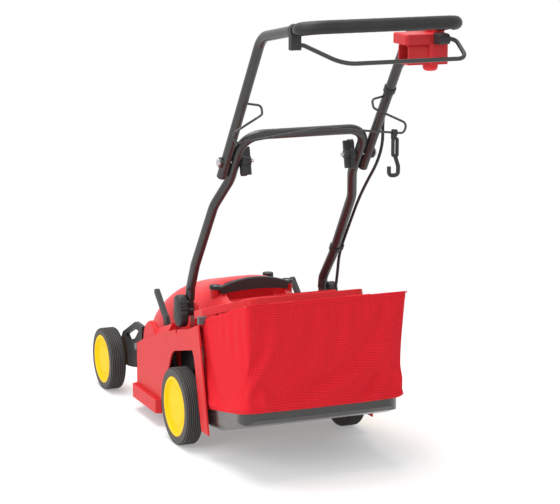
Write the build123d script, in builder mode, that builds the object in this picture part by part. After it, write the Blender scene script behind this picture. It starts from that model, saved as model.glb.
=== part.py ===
"""Corded electric walk-behind lawn mower with a rear collecting bag, in millimetres.

+Y is the way the mower travels, +X is the operator's right and +Z is up.
The origin is on the ground, under the middle of the machine's length and width.
"""

import math
import os

from build123d import *

# Wheels
REAR_TYRE_R = 90.0
FRONT_TYRE_R = 78.0
REAR_RIM_R = 70.0
FRONT_RIM_R = 61.0
TYRE_W = 40.0
TRACK_HALF = 225.0
WHEELBASE = 532.0
TREAD_GROOVES = 7
TREAD_DEPTH = 2.2
AXLE_R = 6.0
RUNNING_GAP = 0.05

# Handle: two folding frames of round tube, leaning back from the deck
TUBE_R = 11.0
TUBE_WALL = 1.5
LEAN = math.radians(35.5)
LOWER_LEG_X = 147.0
LEG_GAP = 1.0
PIVOT_X = 167.0
PIVOT_OFFSET = 45.0
PIVOT_Z = 303.0
CROSSBAR_Z = 747.0
FOLD_Z = 684.0
UPPER_END_DROP = 40.0
LOOP_BEND_Z = 975.0
LOOP_REACH = 639.0
LOOP_RISE = math.radians(9.5)
LOOP_CORNER_R = 38.0
GRIP_R = 14.0
GRIP_GAP = 0.15

# Deck and hood
DECK_HALF = 204.0
DECK_WALL = 4.0
SKIRT_Z = 32.0
SKIRT_TOP_Z = 65.0
SKIRT_OUT = 11.0
NOSE_HALF = 168.0
NOSE_REACH = 485.0
NOSE_STRAIGHT = 425.0
NOSE_BACK = 340.0
SIDE_FRONT = 318.0
CEILING_Z = 106.0
CEILING_T = 6.0
WELL_X = 164.0
HOOD_WALL = 3.0

# Cutting gear
BLADE_OFFSET = 285.0
BLADE_R = 168.0
BLADE_Z = 48.0
SHAFT_R = 8.5
MOTOR_R = 62.0
MOTOR_TOP = 262.0

# Height arms
ARM_T = 10.0
ARM_X = 171.0
PIN_R = 5.0

# Bag
BAG_HALF = 190.0
BAG_WALL = 3.0

# Cords and wires
CABLE_R = 3.5
RAIL_R = 2.5
BAIL_R = 4.5
FIT = 0.3

# The rear axle's place along Y centres the whole length on the origin.
REAR_AXLE_Y = (LOOP_REACH + GRIP_R - WHEELBASE - FRONT_TYRE_R) / 2
FRONT_AXLE_Y = REAR_AXLE_Y + WHEELBASE
UPPER_LEG_X = LOWER_LEG_X + 2 * TUBE_R + LEG_GAP
BLADE_Y = REAR_AXLE_Y + BLADE_OFFSET
PIVOT_Y = REAR_AXLE_Y + PIVOT_OFFSET
LEG_FOOT_Z = PIVOT_Z + 52.0
LEG_FOOT_Y = PIVOT_Y - 5.0
SIDES = {"left": -1, "right": 1}


def ahead(offset):
    """A place along Y, measured forward from the rear axle."""
    return REAR_AXLE_Y + offset


def leg_y(z):
    """Where the handle's leaning legs are along Y at a height."""
    return LEG_FOOT_Y - math.tan(LEAN) * (z - LEG_FOOT_Z)


def loop_z(y):
    """The height of the handle's top loop at a place along Y."""
    return LOOP_BEND_Z + math.tan(LOOP_RISE) * (leg_y(LOOP_BEND_Z) - y)


def tube_plane(x, y):
    """The plane square to the loop's side tube at a place along Y."""
    return Plane(origin=(x, y, loop_z(y)), z_dir=(0, -1, math.tan(LOOP_RISE)))


def save(part, name):
    """Labels a finished piece and writes it under its own name."""
    part.label = name
    export_step(part, f"parts/{name}.step")


def at_line_start(line):
    """The plane square to a line at its first point."""
    return Plane(origin=line @ 0, z_dir=line % 0)


os.makedirs("parts", exist_ok=True)

# Deck outline seen from the side: the top line falls from the rear posts to the nose.
RIDGE = [(-105, 305), (-26, 276), (50, 259), (274, 186), (313, 168), (NOSE_REACH, 146)]
POST_FOOT = (-165.0, 62.0)
WELL_FRONT = 190.0
WELL_REAR = -72.0
REAR_PIN = (120.0, 124.0)
FRONT_PIN = (385.0, 140.0)
FLAP_HINGE = (-8.0, 308.0)
FLAP_ROD_R = 3.0
MOTOR_HOLE_R = 95.0
SHOULDER = (100.0, 274.0)


def ridge_z(offset):
    """The deck's top height at an offset from the rear axle."""
    for (y0, z0), (y1, z1) in zip(RIDGE, RIDGE[1:]):
        if y0 <= offset <= y1:
            return z0 + (z1 - z0) * (offset - y0) / (y1 - y0)
    return RIDGE[0][1]


def ridge_line(start, end, drop):
    """Points along the deck's top between two offsets, lowered by drop."""
    inner = [y for y, _ in RIDGE if start < y < end]
    return [(ahead(y), ridge_z(y) - drop) for y in [start, *inner, end]]


def plan_outline(inset, rear):
    """The deck seen from above: square at the rear with a round nose."""
    half = DECK_HALF - inset
    nose = NOSE_HALF - inset
    with BuildSketch(mode=Mode.PRIVATE) as plan:
        with BuildLine():
            Polyline(
                (-nose, ahead(NOSE_STRAIGHT)),
                (-nose, ahead(NOSE_BACK)),
                (-half, ahead(SIDE_FRONT)),
                (-half, ahead(rear)),
                (half, ahead(rear)),
                (half, ahead(SIDE_FRONT)),
                (nose, ahead(NOSE_BACK)),
                (nose, ahead(NOSE_STRAIGHT)),
            )
            ThreePointArc(
                (nose, ahead(NOSE_STRAIGHT)),
                (0, ahead(NOSE_REACH) - inset),
                (-nose, ahead(NOSE_STRAIGHT)),
            )
        make_face()
    return plan.sketch


def deck_block(inset, floor, tail):
    """The deck's outer block, or the hollow inside it when inset is the wall."""
    slope = (RIDGE[0][0] - POST_FOOT[0]) / (RIDGE[0][1] - POST_FOOT[1])
    foot = RIDGE[0][0] - slope * (RIDGE[0][1] - floor)
    tail_top = [(ahead(RIDGE[0][0]) - tail, RIDGE[0][1] - inset)] if tail else []
    with BuildPart() as block:
        with BuildSketch(Plane.YZ):
            with BuildLine():
                Polyline(
                    *[(ahead(y), z - inset) for y, z in RIDGE],
                    (ahead(NOSE_REACH), floor),
                    (ahead(foot) - tail, floor),
                    *tail_top,
                    close=True,
                )
            make_face()
        extrude(amount=DECK_HALF - inset, both=True)
        if not inset:
            fillet(block.edges().filter_by(Axis.X, reverse=True).group_by(Axis.Z)[-1], 6)
        with BuildSketch(Plane.XY):
            add(plan_outline(inset, -400))
        extrude(amount=500, mode=Mode.INTERSECT)
    return block.part


shoulder_z = ridge_z(SHOULDER[0])
shoulder_run = (SHOULDER[1] - SHOULDER[0], ridge_z(SHOULDER[1]) - shoulder_z)
deck_outer = deck_block(0.0, SKIRT_Z, 0.0)
deck_hollow = deck_block(DECK_WALL, SKIRT_Z - 25, 90.0)

# Deck: one moulding with a skirt, two wheel wells, a cutting ring and hinge lugs
with BuildPart() as deck_shell:
    add(deck_outer)
    add(deck_hollow, mode=Mode.SUBTRACT)
    # Motor ceiling over the cutting ring
    with BuildSketch(Plane.XY.offset(CEILING_Z)):
        add(plan_outline(DECK_WALL / 2, 60))
        with Locations((0, ahead(WELL_FRONT / 2))):
            Rectangle(3 * DECK_HALF, WELL_FRONT, mode=Mode.SUBTRACT)
        with Locations((0, ahead(WELL_FRONT) - 60)):
            Rectangle(2 * WELL_X + 4, 130)
    extrude(amount=CEILING_T)
    with BuildSketch(Plane.XY.offset(SKIRT_Z + 8)):
        with Locations((0, BLADE_Y)):
            Circle(BLADE_R + 7)
            Circle(BLADE_R + 4, mode=Mode.SUBTRACT)
        with Locations((0, ahead(WELL_FRONT) - 200)):
            Rectangle(4 * BLADE_R, 400, mode=Mode.SUBTRACT)
    extrude(amount=CEILING_Z - SKIRT_Z - 6)
    for side in SIDES.values():
        # Wheel well: an inner wall and a front wall behind the outer skin
        with BuildSketch(Plane.YZ.offset(side * WELL_X)):
            with BuildLine():
                Polyline(
                    *ridge_line(WELL_REAR, WELL_FRONT, DECK_WALL / 2),
                    (ahead(WELL_FRONT), SKIRT_TOP_Z),
                    (ahead(WELL_REAR), SKIRT_TOP_Z),
                    close=True,
                )
            make_face()
        extrude(amount=side * DECK_WALL)
        with BuildSketch(Plane.XZ.offset(-ahead(WELL_FRONT))):
            low, high = SKIRT_TOP_Z, ridge_z(WELL_FRONT) - DECK_WALL / 2
            with Locations((side * (WELL_X + DECK_HALF) / 2, (low + high) / 2)):
                Rectangle(DECK_HALF - WELL_X - 2, high - low)
        extrude(amount=-DECK_WALL)
        # Skirt standing proud along the foot of the side wall
        with BuildSketch(Plane.XY.offset(SKIRT_Z)):
            with BuildLine():
                Polyline(
                    (side * (DECK_HALF - 2), ahead(150)),
                    (side * (DECK_HALF + SKIRT_OUT), ahead(156)),
                    (side * (DECK_HALF + SKIRT_OUT), ahead(SIDE_FRONT + 3)),
                    (side * (NOSE_HALF + SKIRT_OUT), ahead(NOSE_BACK + 5)),
                    (side * (NOSE_HALF - 2), ahead(NOSE_BACK)),
                    (side * (DECK_HALF - 2), ahead(SIDE_FRONT)),
                    close=True,
                )
            make_face()
        extrude(amount=SKIRT_TOP_Z - SKIRT_Z)
        # Wheel arch through the side wall, and the open foot behind the wheel
        with BuildSketch(Plane.YZ.offset(side * (WELL_X + DECK_WALL))):
            with BuildLine():
                Spline(
                    (ahead(150), SKIRT_TOP_Z),
                    (ahead(110), 122),
                    (ahead(90), 160),
                    (ahead(71), 194),
                    (ahead(40), 211),
                )
                Polyline(
                    (ahead(40), 211),
                    (ahead(-68), 237),
                    (ahead(-78), 224),
                    (ahead(-122), POST_FOOT[1]),
                    (ahead(-122), -10),
                    (ahead(150), -10),
                    (ahead(150), SKIRT_TOP_Z),
                )
            make_face()
        extrude(amount=side * 80, mode=Mode.SUBTRACT)
        # Lugs for the handle's foot and for the flap's hinge rod
        with BuildSketch(Plane.YZ.offset(side * (PIVOT_X - TUBE_R / 2 - FIT))):
            with Locations((PIVOT_Y, PIVOT_Z)):
                Circle(17)
            with Locations((PIVOT_Y, (PIVOT_Z + ridge_z(PIVOT_OFFSET) - 3) / 2)):
                Rectangle(34, PIVOT_Z - ridge_z(PIVOT_OFFSET) + 3)
        extrude(amount=-side * 11)
        with BuildSketch(Plane.YZ.offset(side * 118)):
            foot_z = ridge_z(FLAP_HINGE[0]) - 3
            with Locations((ahead(FLAP_HINGE[0]), FLAP_HINGE[1])):
                Circle(9)
            with Locations((ahead(FLAP_HINGE[0]), (FLAP_HINGE[1] + foot_z) / 2)):
                Rectangle(18, FLAP_HINGE[1] - foot_z)
        extrude(amount=side * 8)
        # Raised shoulder over the height arm, from the handle's foot to the nose
        with BuildSketch(Plane.XZ.offset(-ahead(SHOULDER[0]))):
            with BuildLine():
                Polyline(
                    (side * (DECK_HALF - 2), shoulder_z - 2),
                    (side * (DECK_HALF - 13), shoulder_z + 18),
                    (side * (WELL_X + 5), shoulder_z + 21),
                    (side * (WELL_X + 3), shoulder_z - 3),
                    close=True,
                )
            make_face()
        extrude(amount=math.dist(shoulder_run, (0, 0)), dir=(0, *shoulder_run))
        # Blister on the shoulder beside the lever
        with BuildPart(mode=Mode.PRIVATE) as blister:
            with BuildSketch(Plane.YZ.offset(side * (ARM_X + ARM_T + 5))):
                with BuildLine():
                    ThreePointArc(
                        (ahead(188), ridge_z(188) - 3),
                        (ahead(222), ridge_z(222) + 34),
                        (ahead(284), ridge_z(284) - 3),
                    )
                    Line((ahead(284), ridge_z(284) - 3), (ahead(188), ridge_z(188) - 3))
                make_face()
            extrude(amount=side * 14)
            crown = blister.edges().filter_by(GeomType.CIRCLE).sort_by(Axis.X)
            fillet(crown[-1 if side > 0 else 0], 7)
        add(blister.part)
        # Vee notch in the side wall's top edge
        with BuildSketch(Plane.YZ.offset(side * (DECK_HALF - 7))):
            with BuildLine():
                Polyline(
                    (ahead(24), ridge_z(24) + 8),
                    (ahead(37), ridge_z(37) - 13),
                    (ahead(46), ridge_z(46) + 8),
                    close=True,
                )
            make_face()
        extrude(amount=side * 20, mode=Mode.SUBTRACT)
        # Slot for the height lever in the shoulder
        with BuildSketch(Plane.XY.offset(ridge_z(WELL_FRONT) - 12)):
            with Locations((side * (ARM_X + ARM_T / 2), ahead(160))):
                Rectangle(ARM_T + 4, 128)
        extrude(amount=80, mode=Mode.SUBTRACT)
        # Bores for the height arms' pins, the handle bolts and the hinge rod
        for bore_y, bore_z, bore_r in (
            (ahead(REAR_PIN[0]), REAR_PIN[1], PIN_R + RUNNING_GAP),
            (ahead(FRONT_PIN[0]), FRONT_PIN[1], PIN_R + RUNNING_GAP),
            (PIVOT_Y, PIVOT_Z, 4.0 + FIT),
            (ahead(FLAP_HINGE[0]), FLAP_HINGE[1], FLAP_ROD_R + RUNNING_GAP),
        ):
            with BuildSketch(Plane.YZ.offset(side * 100)):
                with Locations((bore_y, bore_z)):
                    Circle(bore_r)
            extrude(amount=side * 80, mode=Mode.SUBTRACT)
    # Entry for the motor lead behind the handle's foot
    with BuildSketch(Plane.XY.offset(ridge_z(8) - 20)):
        with Locations((PIVOT_X - 9, ahead(8))):
            Circle(7.0 + FIT)
    extrude(amount=60, mode=Mode.SUBTRACT)
    # The foot behind the wheels stays clear of the ground
    with BuildSketch(Plane.YZ):
        with Locations((ahead(-130), 0)):
            Rectangle(560, 2 * POST_FOOT[1])
    extrude(amount=DECK_HALF + 20, both=True, mode=Mode.SUBTRACT)
    # Clear hole for the motor through the sloping top, and for its shaft through the ceiling
    with BuildSketch(Plane.XY.offset(CEILING_Z + CEILING_T)):
        with Locations((0, BLADE_Y)):
            Circle(MOTOR_HOLE_R)
    extrude(amount=200, mode=Mode.SUBTRACT)
    with BuildSketch(Plane.XY.offset(CEILING_Z - 5)):
        with Locations((0, BLADE_Y)):
            Circle(22)
        with Locations((0, BLADE_Y)):
            with PolarLocations(48, 4, start_angle=45):
                Circle(3.0)
    extrude(amount=20, mode=Mode.SUBTRACT)
save(deck_shell.part, "deck_shell")

# Motor hood: a boxy dome, given by its half width and top height along the machine
HOOD_RIBS = [
    (10, 138, 322),
    (52, 142, 340),
    (110, 149, 355),
    (190, 158, 340),
    (270, 164, 321),
    (350, 160, 286),
    (420, 134, 234),
    (462, 84, 182),
]
HOOD_SQUARENESS = 3.0


def hood_dome(inset):
    """The dome's outer form, or the hollow inside it when inset is the wall."""
    base = 100.0
    with BuildPart() as dome:
        for place, (y, half, top) in enumerate(HOOD_RIBS):
            shift = inset if place == 0 else -inset if place == len(HOOD_RIBS) - 1 else 0
            curve = []
            for step in range(13):
                turn = math.pi * step / 12
                reach = math.copysign(abs(math.cos(turn)) ** (2 / HOOD_SQUARENESS), math.cos(turn))
                lift = abs(math.sin(turn)) ** (2 / HOOD_SQUARENESS)
                curve.append(((half - inset) * reach, base + (top - inset - base) * lift))
            with BuildSketch(Plane.XZ.offset(-ahead(y) - shift)):
                with BuildLine():
                    Spline(*curve, tangents=[(0, 1), (0, -1)])
                    Line(curve[-1], curve[0])
                make_face()
        loft()
    return dome.part


HANDLE_EAR = (91.0, 79.0)
EAR_Z = 340.0
RECESS_Z = 308.0
VENT_COUNT = 7
KNOB_SPOT = (113.0, 250.0)
KNOB_SHANK_R = 4.0
hood_outer = hood_dome(0.0)
hood_hollow = hood_dome(HOOD_WALL)
with BuildPart() as motor_hood:
    add(hood_outer)
    add(hood_hollow, mode=Mode.SUBTRACT)
    # The hood's foot follows the deck's sloping top
    with BuildSketch(Plane.YZ):
        with BuildLine():
            Polyline(
                (ahead(-200), 0),
                (ahead(-200), RIDGE[0][1]),
                *[(ahead(y), z) for y, z in RIDGE],
                (ahead(NOSE_REACH), 0),
                close=True,
            )
        make_face()
    extrude(amount=DECK_HALF + 40, both=True, mode=Mode.SUBTRACT)
    # Hand recess under the carrying handle, with its own floor and walls
    with BuildSketch(Plane.XY.offset(RECESS_Z)):
        with Locations((0, ahead(58))):
            RectangleRounded(146, 74, 18)
    extrude(amount=60, mode=Mode.SUBTRACT)
    with BuildSketch(Plane.XY.offset(RECESS_Z - HOOD_WALL)):
        with Locations((0, ahead(58))):
            RectangleRounded(152, 80, 21)
    extrude(amount=HOOD_WALL)
    with BuildSketch(Plane.XY.offset(RECESS_Z - 1)):
        with Locations((0, ahead(58))):
            RectangleRounded(152, 80, 21)
            RectangleRounded(146, 74, 18, mode=Mode.SUBTRACT)
    extrude(amount=60)
    add(hood_outer, mode=Mode.INTERSECT)
    # Seats for the carrying handle's ears
    for side in SIDES.values():
        with BuildSketch(Plane.XY.offset(RECESS_Z - 8)):
            with Locations((side * HANDLE_EAR[0], ahead(HANDLE_EAR[1]))):
                Circle(12)
        extrude(amount=EAR_Z - RECESS_Z + 8)
        with BuildSketch(Plane.XY.offset(RECESS_Z - 18)):
            with Locations((side * HANDLE_EAR[0], ahead(HANDLE_EAR[1]))):
                Circle(3.0 + FIT)
        extrude(amount=80, mode=Mode.SUBTRACT)
    # Hole for the locking knob's shank
    with BuildSketch(Plane.XY.offset(RECESS_Z - 60)):
        with Locations((KNOB_SPOT[0], ahead(KNOB_SPOT[1]))):
            Circle(KNOB_SHANK_R + FIT)
    extrude(amount=100, mode=Mode.SUBTRACT)
    # Cooling slots through the front slope
    with BuildSketch(Plane.XY.offset(150)):
        with Locations((0, ahead(395))):
            with GridLocations(26, 1, VENT_COUNT, 1):
                SlotOverall(46, 7, rotation=90)
    extrude(amount=200, mode=Mode.SUBTRACT)
save(motor_hood.part, "motor_hood")

# Carrying handle: a broad arched band between two flat screwed ears
BAND_Y = 55.0
BAND_T = 12.0
with BuildPart() as carry_handle:
    with BuildSketch(Plane.XZ.offset(-ahead(BAND_Y))):
        with BuildLine():
            ThreePointArc((-86, EAR_Z + 8), (0, EAR_Z + 25), (86, EAR_Z + 8))
            Line((86, EAR_Z + 8), (82, EAR_Z - 9))
            ThreePointArc((82, EAR_Z - 9), (0, EAR_Z - 3), (-82, EAR_Z - 9))
            Line((-82, EAR_Z - 9), (-86, EAR_Z + 8))
        make_face()
    extrude(amount=-BAND_T)
    fillet(carry_handle.edges().filter_by(Axis.Y, reverse=True).group_by(Axis.Z)[-1], 3)
    for side in SIDES.values():
        with BuildSketch(Plane.XY.offset(EAR_Z)):
            with Locations((side * HANDLE_EAR[0], ahead(HANDLE_EAR[1]))):
                Circle(14)
            with Locations((side * 78, ahead(BAND_Y + BAND_T / 2))):
                Circle(5)
            make_hull()
        extrude(amount=8)
        with BuildSketch(Plane.XY.offset(EAR_Z - 10)):
            with Locations((side * HANDLE_EAR[0], ahead(HANDLE_EAR[1]))):
                Circle(3.0 + FIT)
        extrude(amount=60, mode=Mode.SUBTRACT)
        with BuildSketch(Plane.XY.offset(EAR_Z + 4)):
            with Locations((side * HANDLE_EAR[0], ahead(HANDLE_EAR[1]))):
                SlotOverall(19, 12)
        extrude(amount=60, mode=Mode.SUBTRACT)
    # The band's ends follow the hood they lie on
    add(motor_hood.part, mode=Mode.SUBTRACT)
save(carry_handle.part, "carry_handle")

with BuildPart() as carry_screws:
    for side in SIDES.values():
        with BuildSketch(Plane.XY.offset(EAR_Z + 4)):
            with Locations((side * HANDLE_EAR[0], ahead(HANDLE_EAR[1]))):
                Circle(5)
        extrude(amount=3)
        with BuildSketch(Plane.XY.offset(EAR_Z - 38)):
            with Locations((side * HANDLE_EAR[0], ahead(HANDLE_EAR[1]))):
                Circle(3)
        extrude(amount=42)
save(carry_screws.part, "carry_screws")

# Black knob that locks the hood, on its right shoulder
KNOB_SEAT_Z = 280.0
KNOB_CROWN_Z = 329.0
with BuildPart() as hood_knob:
    with BuildSketch(Plane.XY.offset(KNOB_SEAT_Z)):
        with Locations((KNOB_SPOT[0], ahead(KNOB_SPOT[1]))):
            Circle(13)
            with PolarLocations(13.5, 8):
                Circle(2.6, mode=Mode.SUBTRACT)
    extrude(amount=KNOB_CROWN_Z - KNOB_SEAT_Z)
    fillet(hood_knob.faces().sort_by(Axis.Z)[-1].edges(), 2)
    add(hood_outer, mode=Mode.SUBTRACT)
    with BuildSketch(Plane.XY.offset(KNOB_SEAT_Z - 4)):
        with Locations((KNOB_SPOT[0], ahead(KNOB_SPOT[1]))):
            Circle(KNOB_SHANK_R)
    extrude(amount=KNOB_CROWN_Z - KNOB_SEAT_Z - 6)
save(hood_knob.part, "hood_knob")

# Rear flap over the bag: a sloping lid with a turned-down rim, on a hinge rod
FLAP_EDGE = (-248.0, 385.0)
FLAP_FRONT_HALF = 186.0
FLAP_REAR_HALF = 138.0
FLAP_T = 3.0
FLAP_RIM = 15.0
flap_slope = math.atan2(FLAP_EDGE[1] - FLAP_HINGE[1], FLAP_HINGE[0] - FLAP_EDGE[0])
flap_length = math.hypot(FLAP_EDGE[1] - FLAP_HINGE[1], FLAP_HINGE[0] - FLAP_EDGE[0])
flap_plane = Plane(
    origin=(0, ahead(FLAP_HINGE[0]), FLAP_HINGE[1]),
    x_dir=(1, 0, 0),
    z_dir=(0, math.sin(flap_slope), math.cos(flap_slope)),
)
with BuildPart() as rear_flap:
    with BuildSketch(flap_plane.offset(-FLAP_RIM)):
        with BuildLine():
            Polyline(
                (FLAP_REAR_HALF, -flap_length),
                (-FLAP_REAR_HALF, -flap_length),
                (-FLAP_FRONT_HALF, -78),
                (-FLAP_FRONT_HALF, -26),
                (FLAP_FRONT_HALF, -26),
                (FLAP_FRONT_HALF, -78),
                close=True,
            )
        flap_face = make_face()
        fillet(flap_face.vertices().group_by(Axis.Y)[0], 26)
    extrude(amount=FLAP_RIM + FLAP_T)
    fillet(rear_flap.edges().group_by(Axis.Z)[-1], 2)
    with BuildSketch(flap_plane.offset(-FLAP_RIM - 1)):
        with BuildLine():
            Polyline(
                (FLAP_REAR_HALF - 4, 4 - flap_length),
                (4 - FLAP_REAR_HALF, 4 - flap_length),
                (4 - FLAP_FRONT_HALF, -76),
                (4 - FLAP_FRONT_HALF, -10),
                (FLAP_FRONT_HALF - 4, -10),
                (FLAP_FRONT_HALF - 4, -76),
                close=True,
            )
        flap_hollow = make_face()
        fillet(flap_hollow.vertices().group_by(Axis.Y)[0], 22)
    extrude(amount=FLAP_RIM + 1, mode=Mode.SUBTRACT)
    # Hinge knuckle and the web that joins it to the lid
    with BuildSketch(flap_plane):
        with Locations((0, -14)):
            Rectangle(224, 28)
    extrude(amount=FLAP_T)
    with BuildSketch(Plane.YZ.offset(-112)):
        with Locations((ahead(FLAP_HINGE[0]), FLAP_HINGE[1])):
            Circle(7)
    extrude(amount=224)
    with BuildSketch(Plane.YZ.offset(-120)):
        with Locations((ahead(FLAP_HINGE[0]), FLAP_HINGE[1])):
            Circle(FLAP_ROD_R + RUNNING_GAP)
    extrude(amount=240, mode=Mode.SUBTRACT)
    # Raised finger ledge along the rear edge
    with BuildSketch(flap_plane.offset(FLAP_T)):
        with Locations((0, 12 - flap_length)):
            SlotOverall(150, 12)
    extrude(amount=4)
save(rear_flap.part, "rear_flap")

with BuildPart() as flap_rod:
    with BuildSketch(Plane.YZ.offset(-128)):
        with Locations((ahead(FLAP_HINGE[0]), FLAP_HINGE[1])):
            Circle(FLAP_ROD_R)
    extrude(amount=256)
save(flap_rod.part, "flap_rod")

# Motor: a can with two bearings, standing on the deck's ceiling
MOTOR_BASE = CEILING_Z + CEILING_T
BEARING_R = 17.0
BEARING_H = 11.0
ROTOR_R = 40.0
ROTOR_H = 56.0
with BuildPart() as motor_can:
    with BuildSketch(Plane.XY.offset(MOTOR_BASE)):
        with Locations((0, BLADE_Y)):
            Circle(MOTOR_R)
    extrude(amount=MOTOR_TOP - MOTOR_BASE)
    fillet(motor_can.faces().sort_by(Axis.Z)[-1].edges(), 8)
    with BuildSketch(Plane.XY.offset(MOTOR_BASE + BEARING_H + 4)):
        with Locations((0, BLADE_Y)):
            Circle(MOTOR_R - 4)
    extrude(amount=MOTOR_TOP - MOTOR_BASE - 2 * BEARING_H - 8, mode=Mode.SUBTRACT)
    # Pockets in the end plates round the bearing seats
    for pocket_z in (MOTOR_BASE + 5, MOTOR_TOP - BEARING_H - 4):
        with BuildSketch(Plane.XY.offset(pocket_z)):
            with Locations((0, BLADE_Y)):
                Circle(MOTOR_R - 18)
                Circle(BEARING_R + 6, mode=Mode.SUBTRACT)
        extrude(amount=BEARING_H - 1, mode=Mode.SUBTRACT)
    # Stator ring inside the can
    with BuildSketch(Plane.XY.offset(MOTOR_BASE + 58)):
        with Locations((0, BLADE_Y)):
            Circle(MOTOR_R - 3)
            Circle(ROTOR_R + 2, mode=Mode.SUBTRACT)
    extrude(amount=ROTOR_H)
    for bore_z, depth in ((MOTOR_BASE, BEARING_H + 5), (MOTOR_TOP - BEARING_H - 5, BEARING_H + 1)):
        with BuildSketch(Plane.XY.offset(bore_z)):
            with Locations((0, BLADE_Y)):
                Circle(BEARING_R)
        extrude(amount=depth, mode=Mode.SUBTRACT)
    with BuildSketch(Plane.XY.offset(MOTOR_BASE)):
        with Locations((0, BLADE_Y)):
            with PolarLocations(48, 4, start_angle=45):
                Circle(2.5)
    extrude(amount=10, mode=Mode.SUBTRACT)
save(motor_can.part, "motor_can")

with BuildPart() as motor_bearings:
    for base in (MOTOR_BASE, MOTOR_TOP - BEARING_H - 4):
        with BuildSketch(Plane.XY.offset(base)):
            with Locations((0, BLADE_Y)):
                Circle(BEARING_R)
                Circle(SHAFT_R + RUNNING_GAP, mode=Mode.SUBTRACT)
        extrude(amount=BEARING_H)
save(motor_bearings.part, "motor_bearings")

with BuildPart() as motor_screws:
    with BuildSketch(Plane.XY.offset(CEILING_Z - 4)):
        with Locations((0, BLADE_Y)):
            with PolarLocations(48, 4, start_angle=45):
                Circle(5)
    extrude(amount=4)
    with BuildSketch(Plane.XY.offset(CEILING_Z)):
        with Locations((0, BLADE_Y)):
            with PolarLocations(48, 4, start_angle=45):
                Circle(2.5)
    extrude(amount=CEILING_T + 9)
save(motor_screws.part, "motor_screws")

# Shaft, rotor, fan, carrier and bar blade all turn together
CARRIER_TOP = 84.0
with BuildPart() as motor_shaft:
    with BuildSketch(Plane.XY.offset(BLADE_Z + 4)):
        with Locations((0, BLADE_Y)):
            Circle(SHAFT_R)
    extrude(amount=MOTOR_TOP - 6 - BLADE_Z - 4)
    with BuildSketch(Plane.XY.offset(BLADE_Z)):
        with Locations((0, BLADE_Y)):
            Circle(4)
    extrude(amount=30, mode=Mode.SUBTRACT)
save(motor_shaft.part, "motor_shaft")

with BuildPart() as motor_rotor:
    with BuildSketch(Plane.XY.offset(MOTOR_BASE + 58)):
        with Locations((0, BLADE_Y)):
            Circle(ROTOR_R)
            with PolarLocations(28, 8):
                Circle(7, mode=Mode.SUBTRACT)
            Circle(SHAFT_R, mode=Mode.SUBTRACT)
    extrude(amount=ROTOR_H)
save(motor_rotor.part, "motor_rotor")

with BuildPart() as blade_carrier:
    with BuildSketch(Plane.XY.offset(BLADE_Z + 4)):
        with Locations((0, BLADE_Y)):
            Circle(26)
    extrude(amount=CARRIER_TOP - BLADE_Z - 4)
    with BuildSketch(Plane.XY.offset(CARRIER_TOP - 5)):
        with Locations((0, BLADE_Y)):
            Circle(64)
    extrude(amount=5)
    with BuildSketch(Plane.XY.offset(CARRIER_TOP - 17)):
        with Locations((0, BLADE_Y)):
            with PolarLocations(42, 10):
                Rectangle(38, 3)
    extrude(amount=12)
    with BuildSketch(Plane.XY.offset(BLADE_Z)):
        with Locations((0, BLADE_Y)):
            Circle(SHAFT_R)
    extrude(amount=80, mode=Mode.SUBTRACT)
save(blade_carrier.part, "blade_carrier")

BLADE_W = 46.0
BLADE_T = 4.0
with BuildPart() as cutting_blade:
    with BuildSketch(Plane.XY.offset(BLADE_Z)):
        with Locations((0, BLADE_Y)):
            Rectangle(2 * BLADE_R, BLADE_W)
    extrude(amount=BLADE_T)
    with BuildSketch(Plane.XY.offset(BLADE_Z)):
        with Locations((0, BLADE_Y)):
            Circle(BLADE_R)
    extrude(amount=BLADE_T, mode=Mode.INTERSECT)
    # Ground cutting edges at the two leading ends, and the lifted trailing corners
    for turn in (0, 180):
        with BuildSketch(Plane.YZ.offset(BLADE_R / 2), mode=Mode.PRIVATE) as wedge:
            with BuildLine():
                Polyline((BLADE_W / 2 + 1, 3), (BLADE_W / 2 + 1, 5), (BLADE_W / 2 - 9, 5), close=True)
            make_face()
        turned = Pos(0, BLADE_Y, BLADE_Z) * Rot(0, 0, turn)
        add(turned * extrude(wedge.sketch, amount=BLADE_R, mode=Mode.PRIVATE), mode=Mode.SUBTRACT)
        with BuildSketch(Plane.YZ.offset(BLADE_R - 62), mode=Mode.PRIVATE) as wing:
            with BuildLine():
                Polyline(
                    (-BLADE_W / 2, 4),
                    (-BLADE_W / 2, 14),
                    (-BLADE_W / 2 + 3, 14),
                    (-BLADE_W / 2 + 10, 4),
                    close=True,
                )
            make_face()
        add(turned * extrude(wing.sketch, amount=56, mode=Mode.PRIVATE))
    with BuildSketch(Plane.XY.offset(BLADE_Z - 1)):
        with Locations((0, BLADE_Y)):
            Circle(4 + FIT)
    extrude(amount=20, mode=Mode.SUBTRACT)
save(cutting_blade.part, "cutting_blade")

with BuildPart() as blade_bolt:
    with BuildSketch(Plane.XY.offset(BLADE_Z - 10)):
        with Locations((0, BLADE_Y)):
            RegularPolygon(10, 6)
    extrude(amount=7)
    with BuildSketch(Plane.XY.offset(BLADE_Z - 3)):
        with Locations((0, BLADE_Y)):
            Circle(16)
    extrude(amount=3)
    with BuildSketch(Plane.XY.offset(BLADE_Z)):
        with Locations((0, BLADE_Y)):
            Circle(4)
    extrude(amount=26)
save(blade_bolt.part, "blade_bolt")

# Height arms: each wheel hangs on an arm that turns on a pin through the deck


def link(start, end, width):
    """A round-ended bar between two places seen from the side."""
    length = math.dist(start, end)
    turn = math.degrees(math.atan2(end[1] - start[1], end[0] - start[0]))
    with Locations((ahead((start[0] + end[0]) / 2), (start[1] + end[1]) / 2)):
        SlotCenterToCenter(length, width, rotation=turn)


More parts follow.
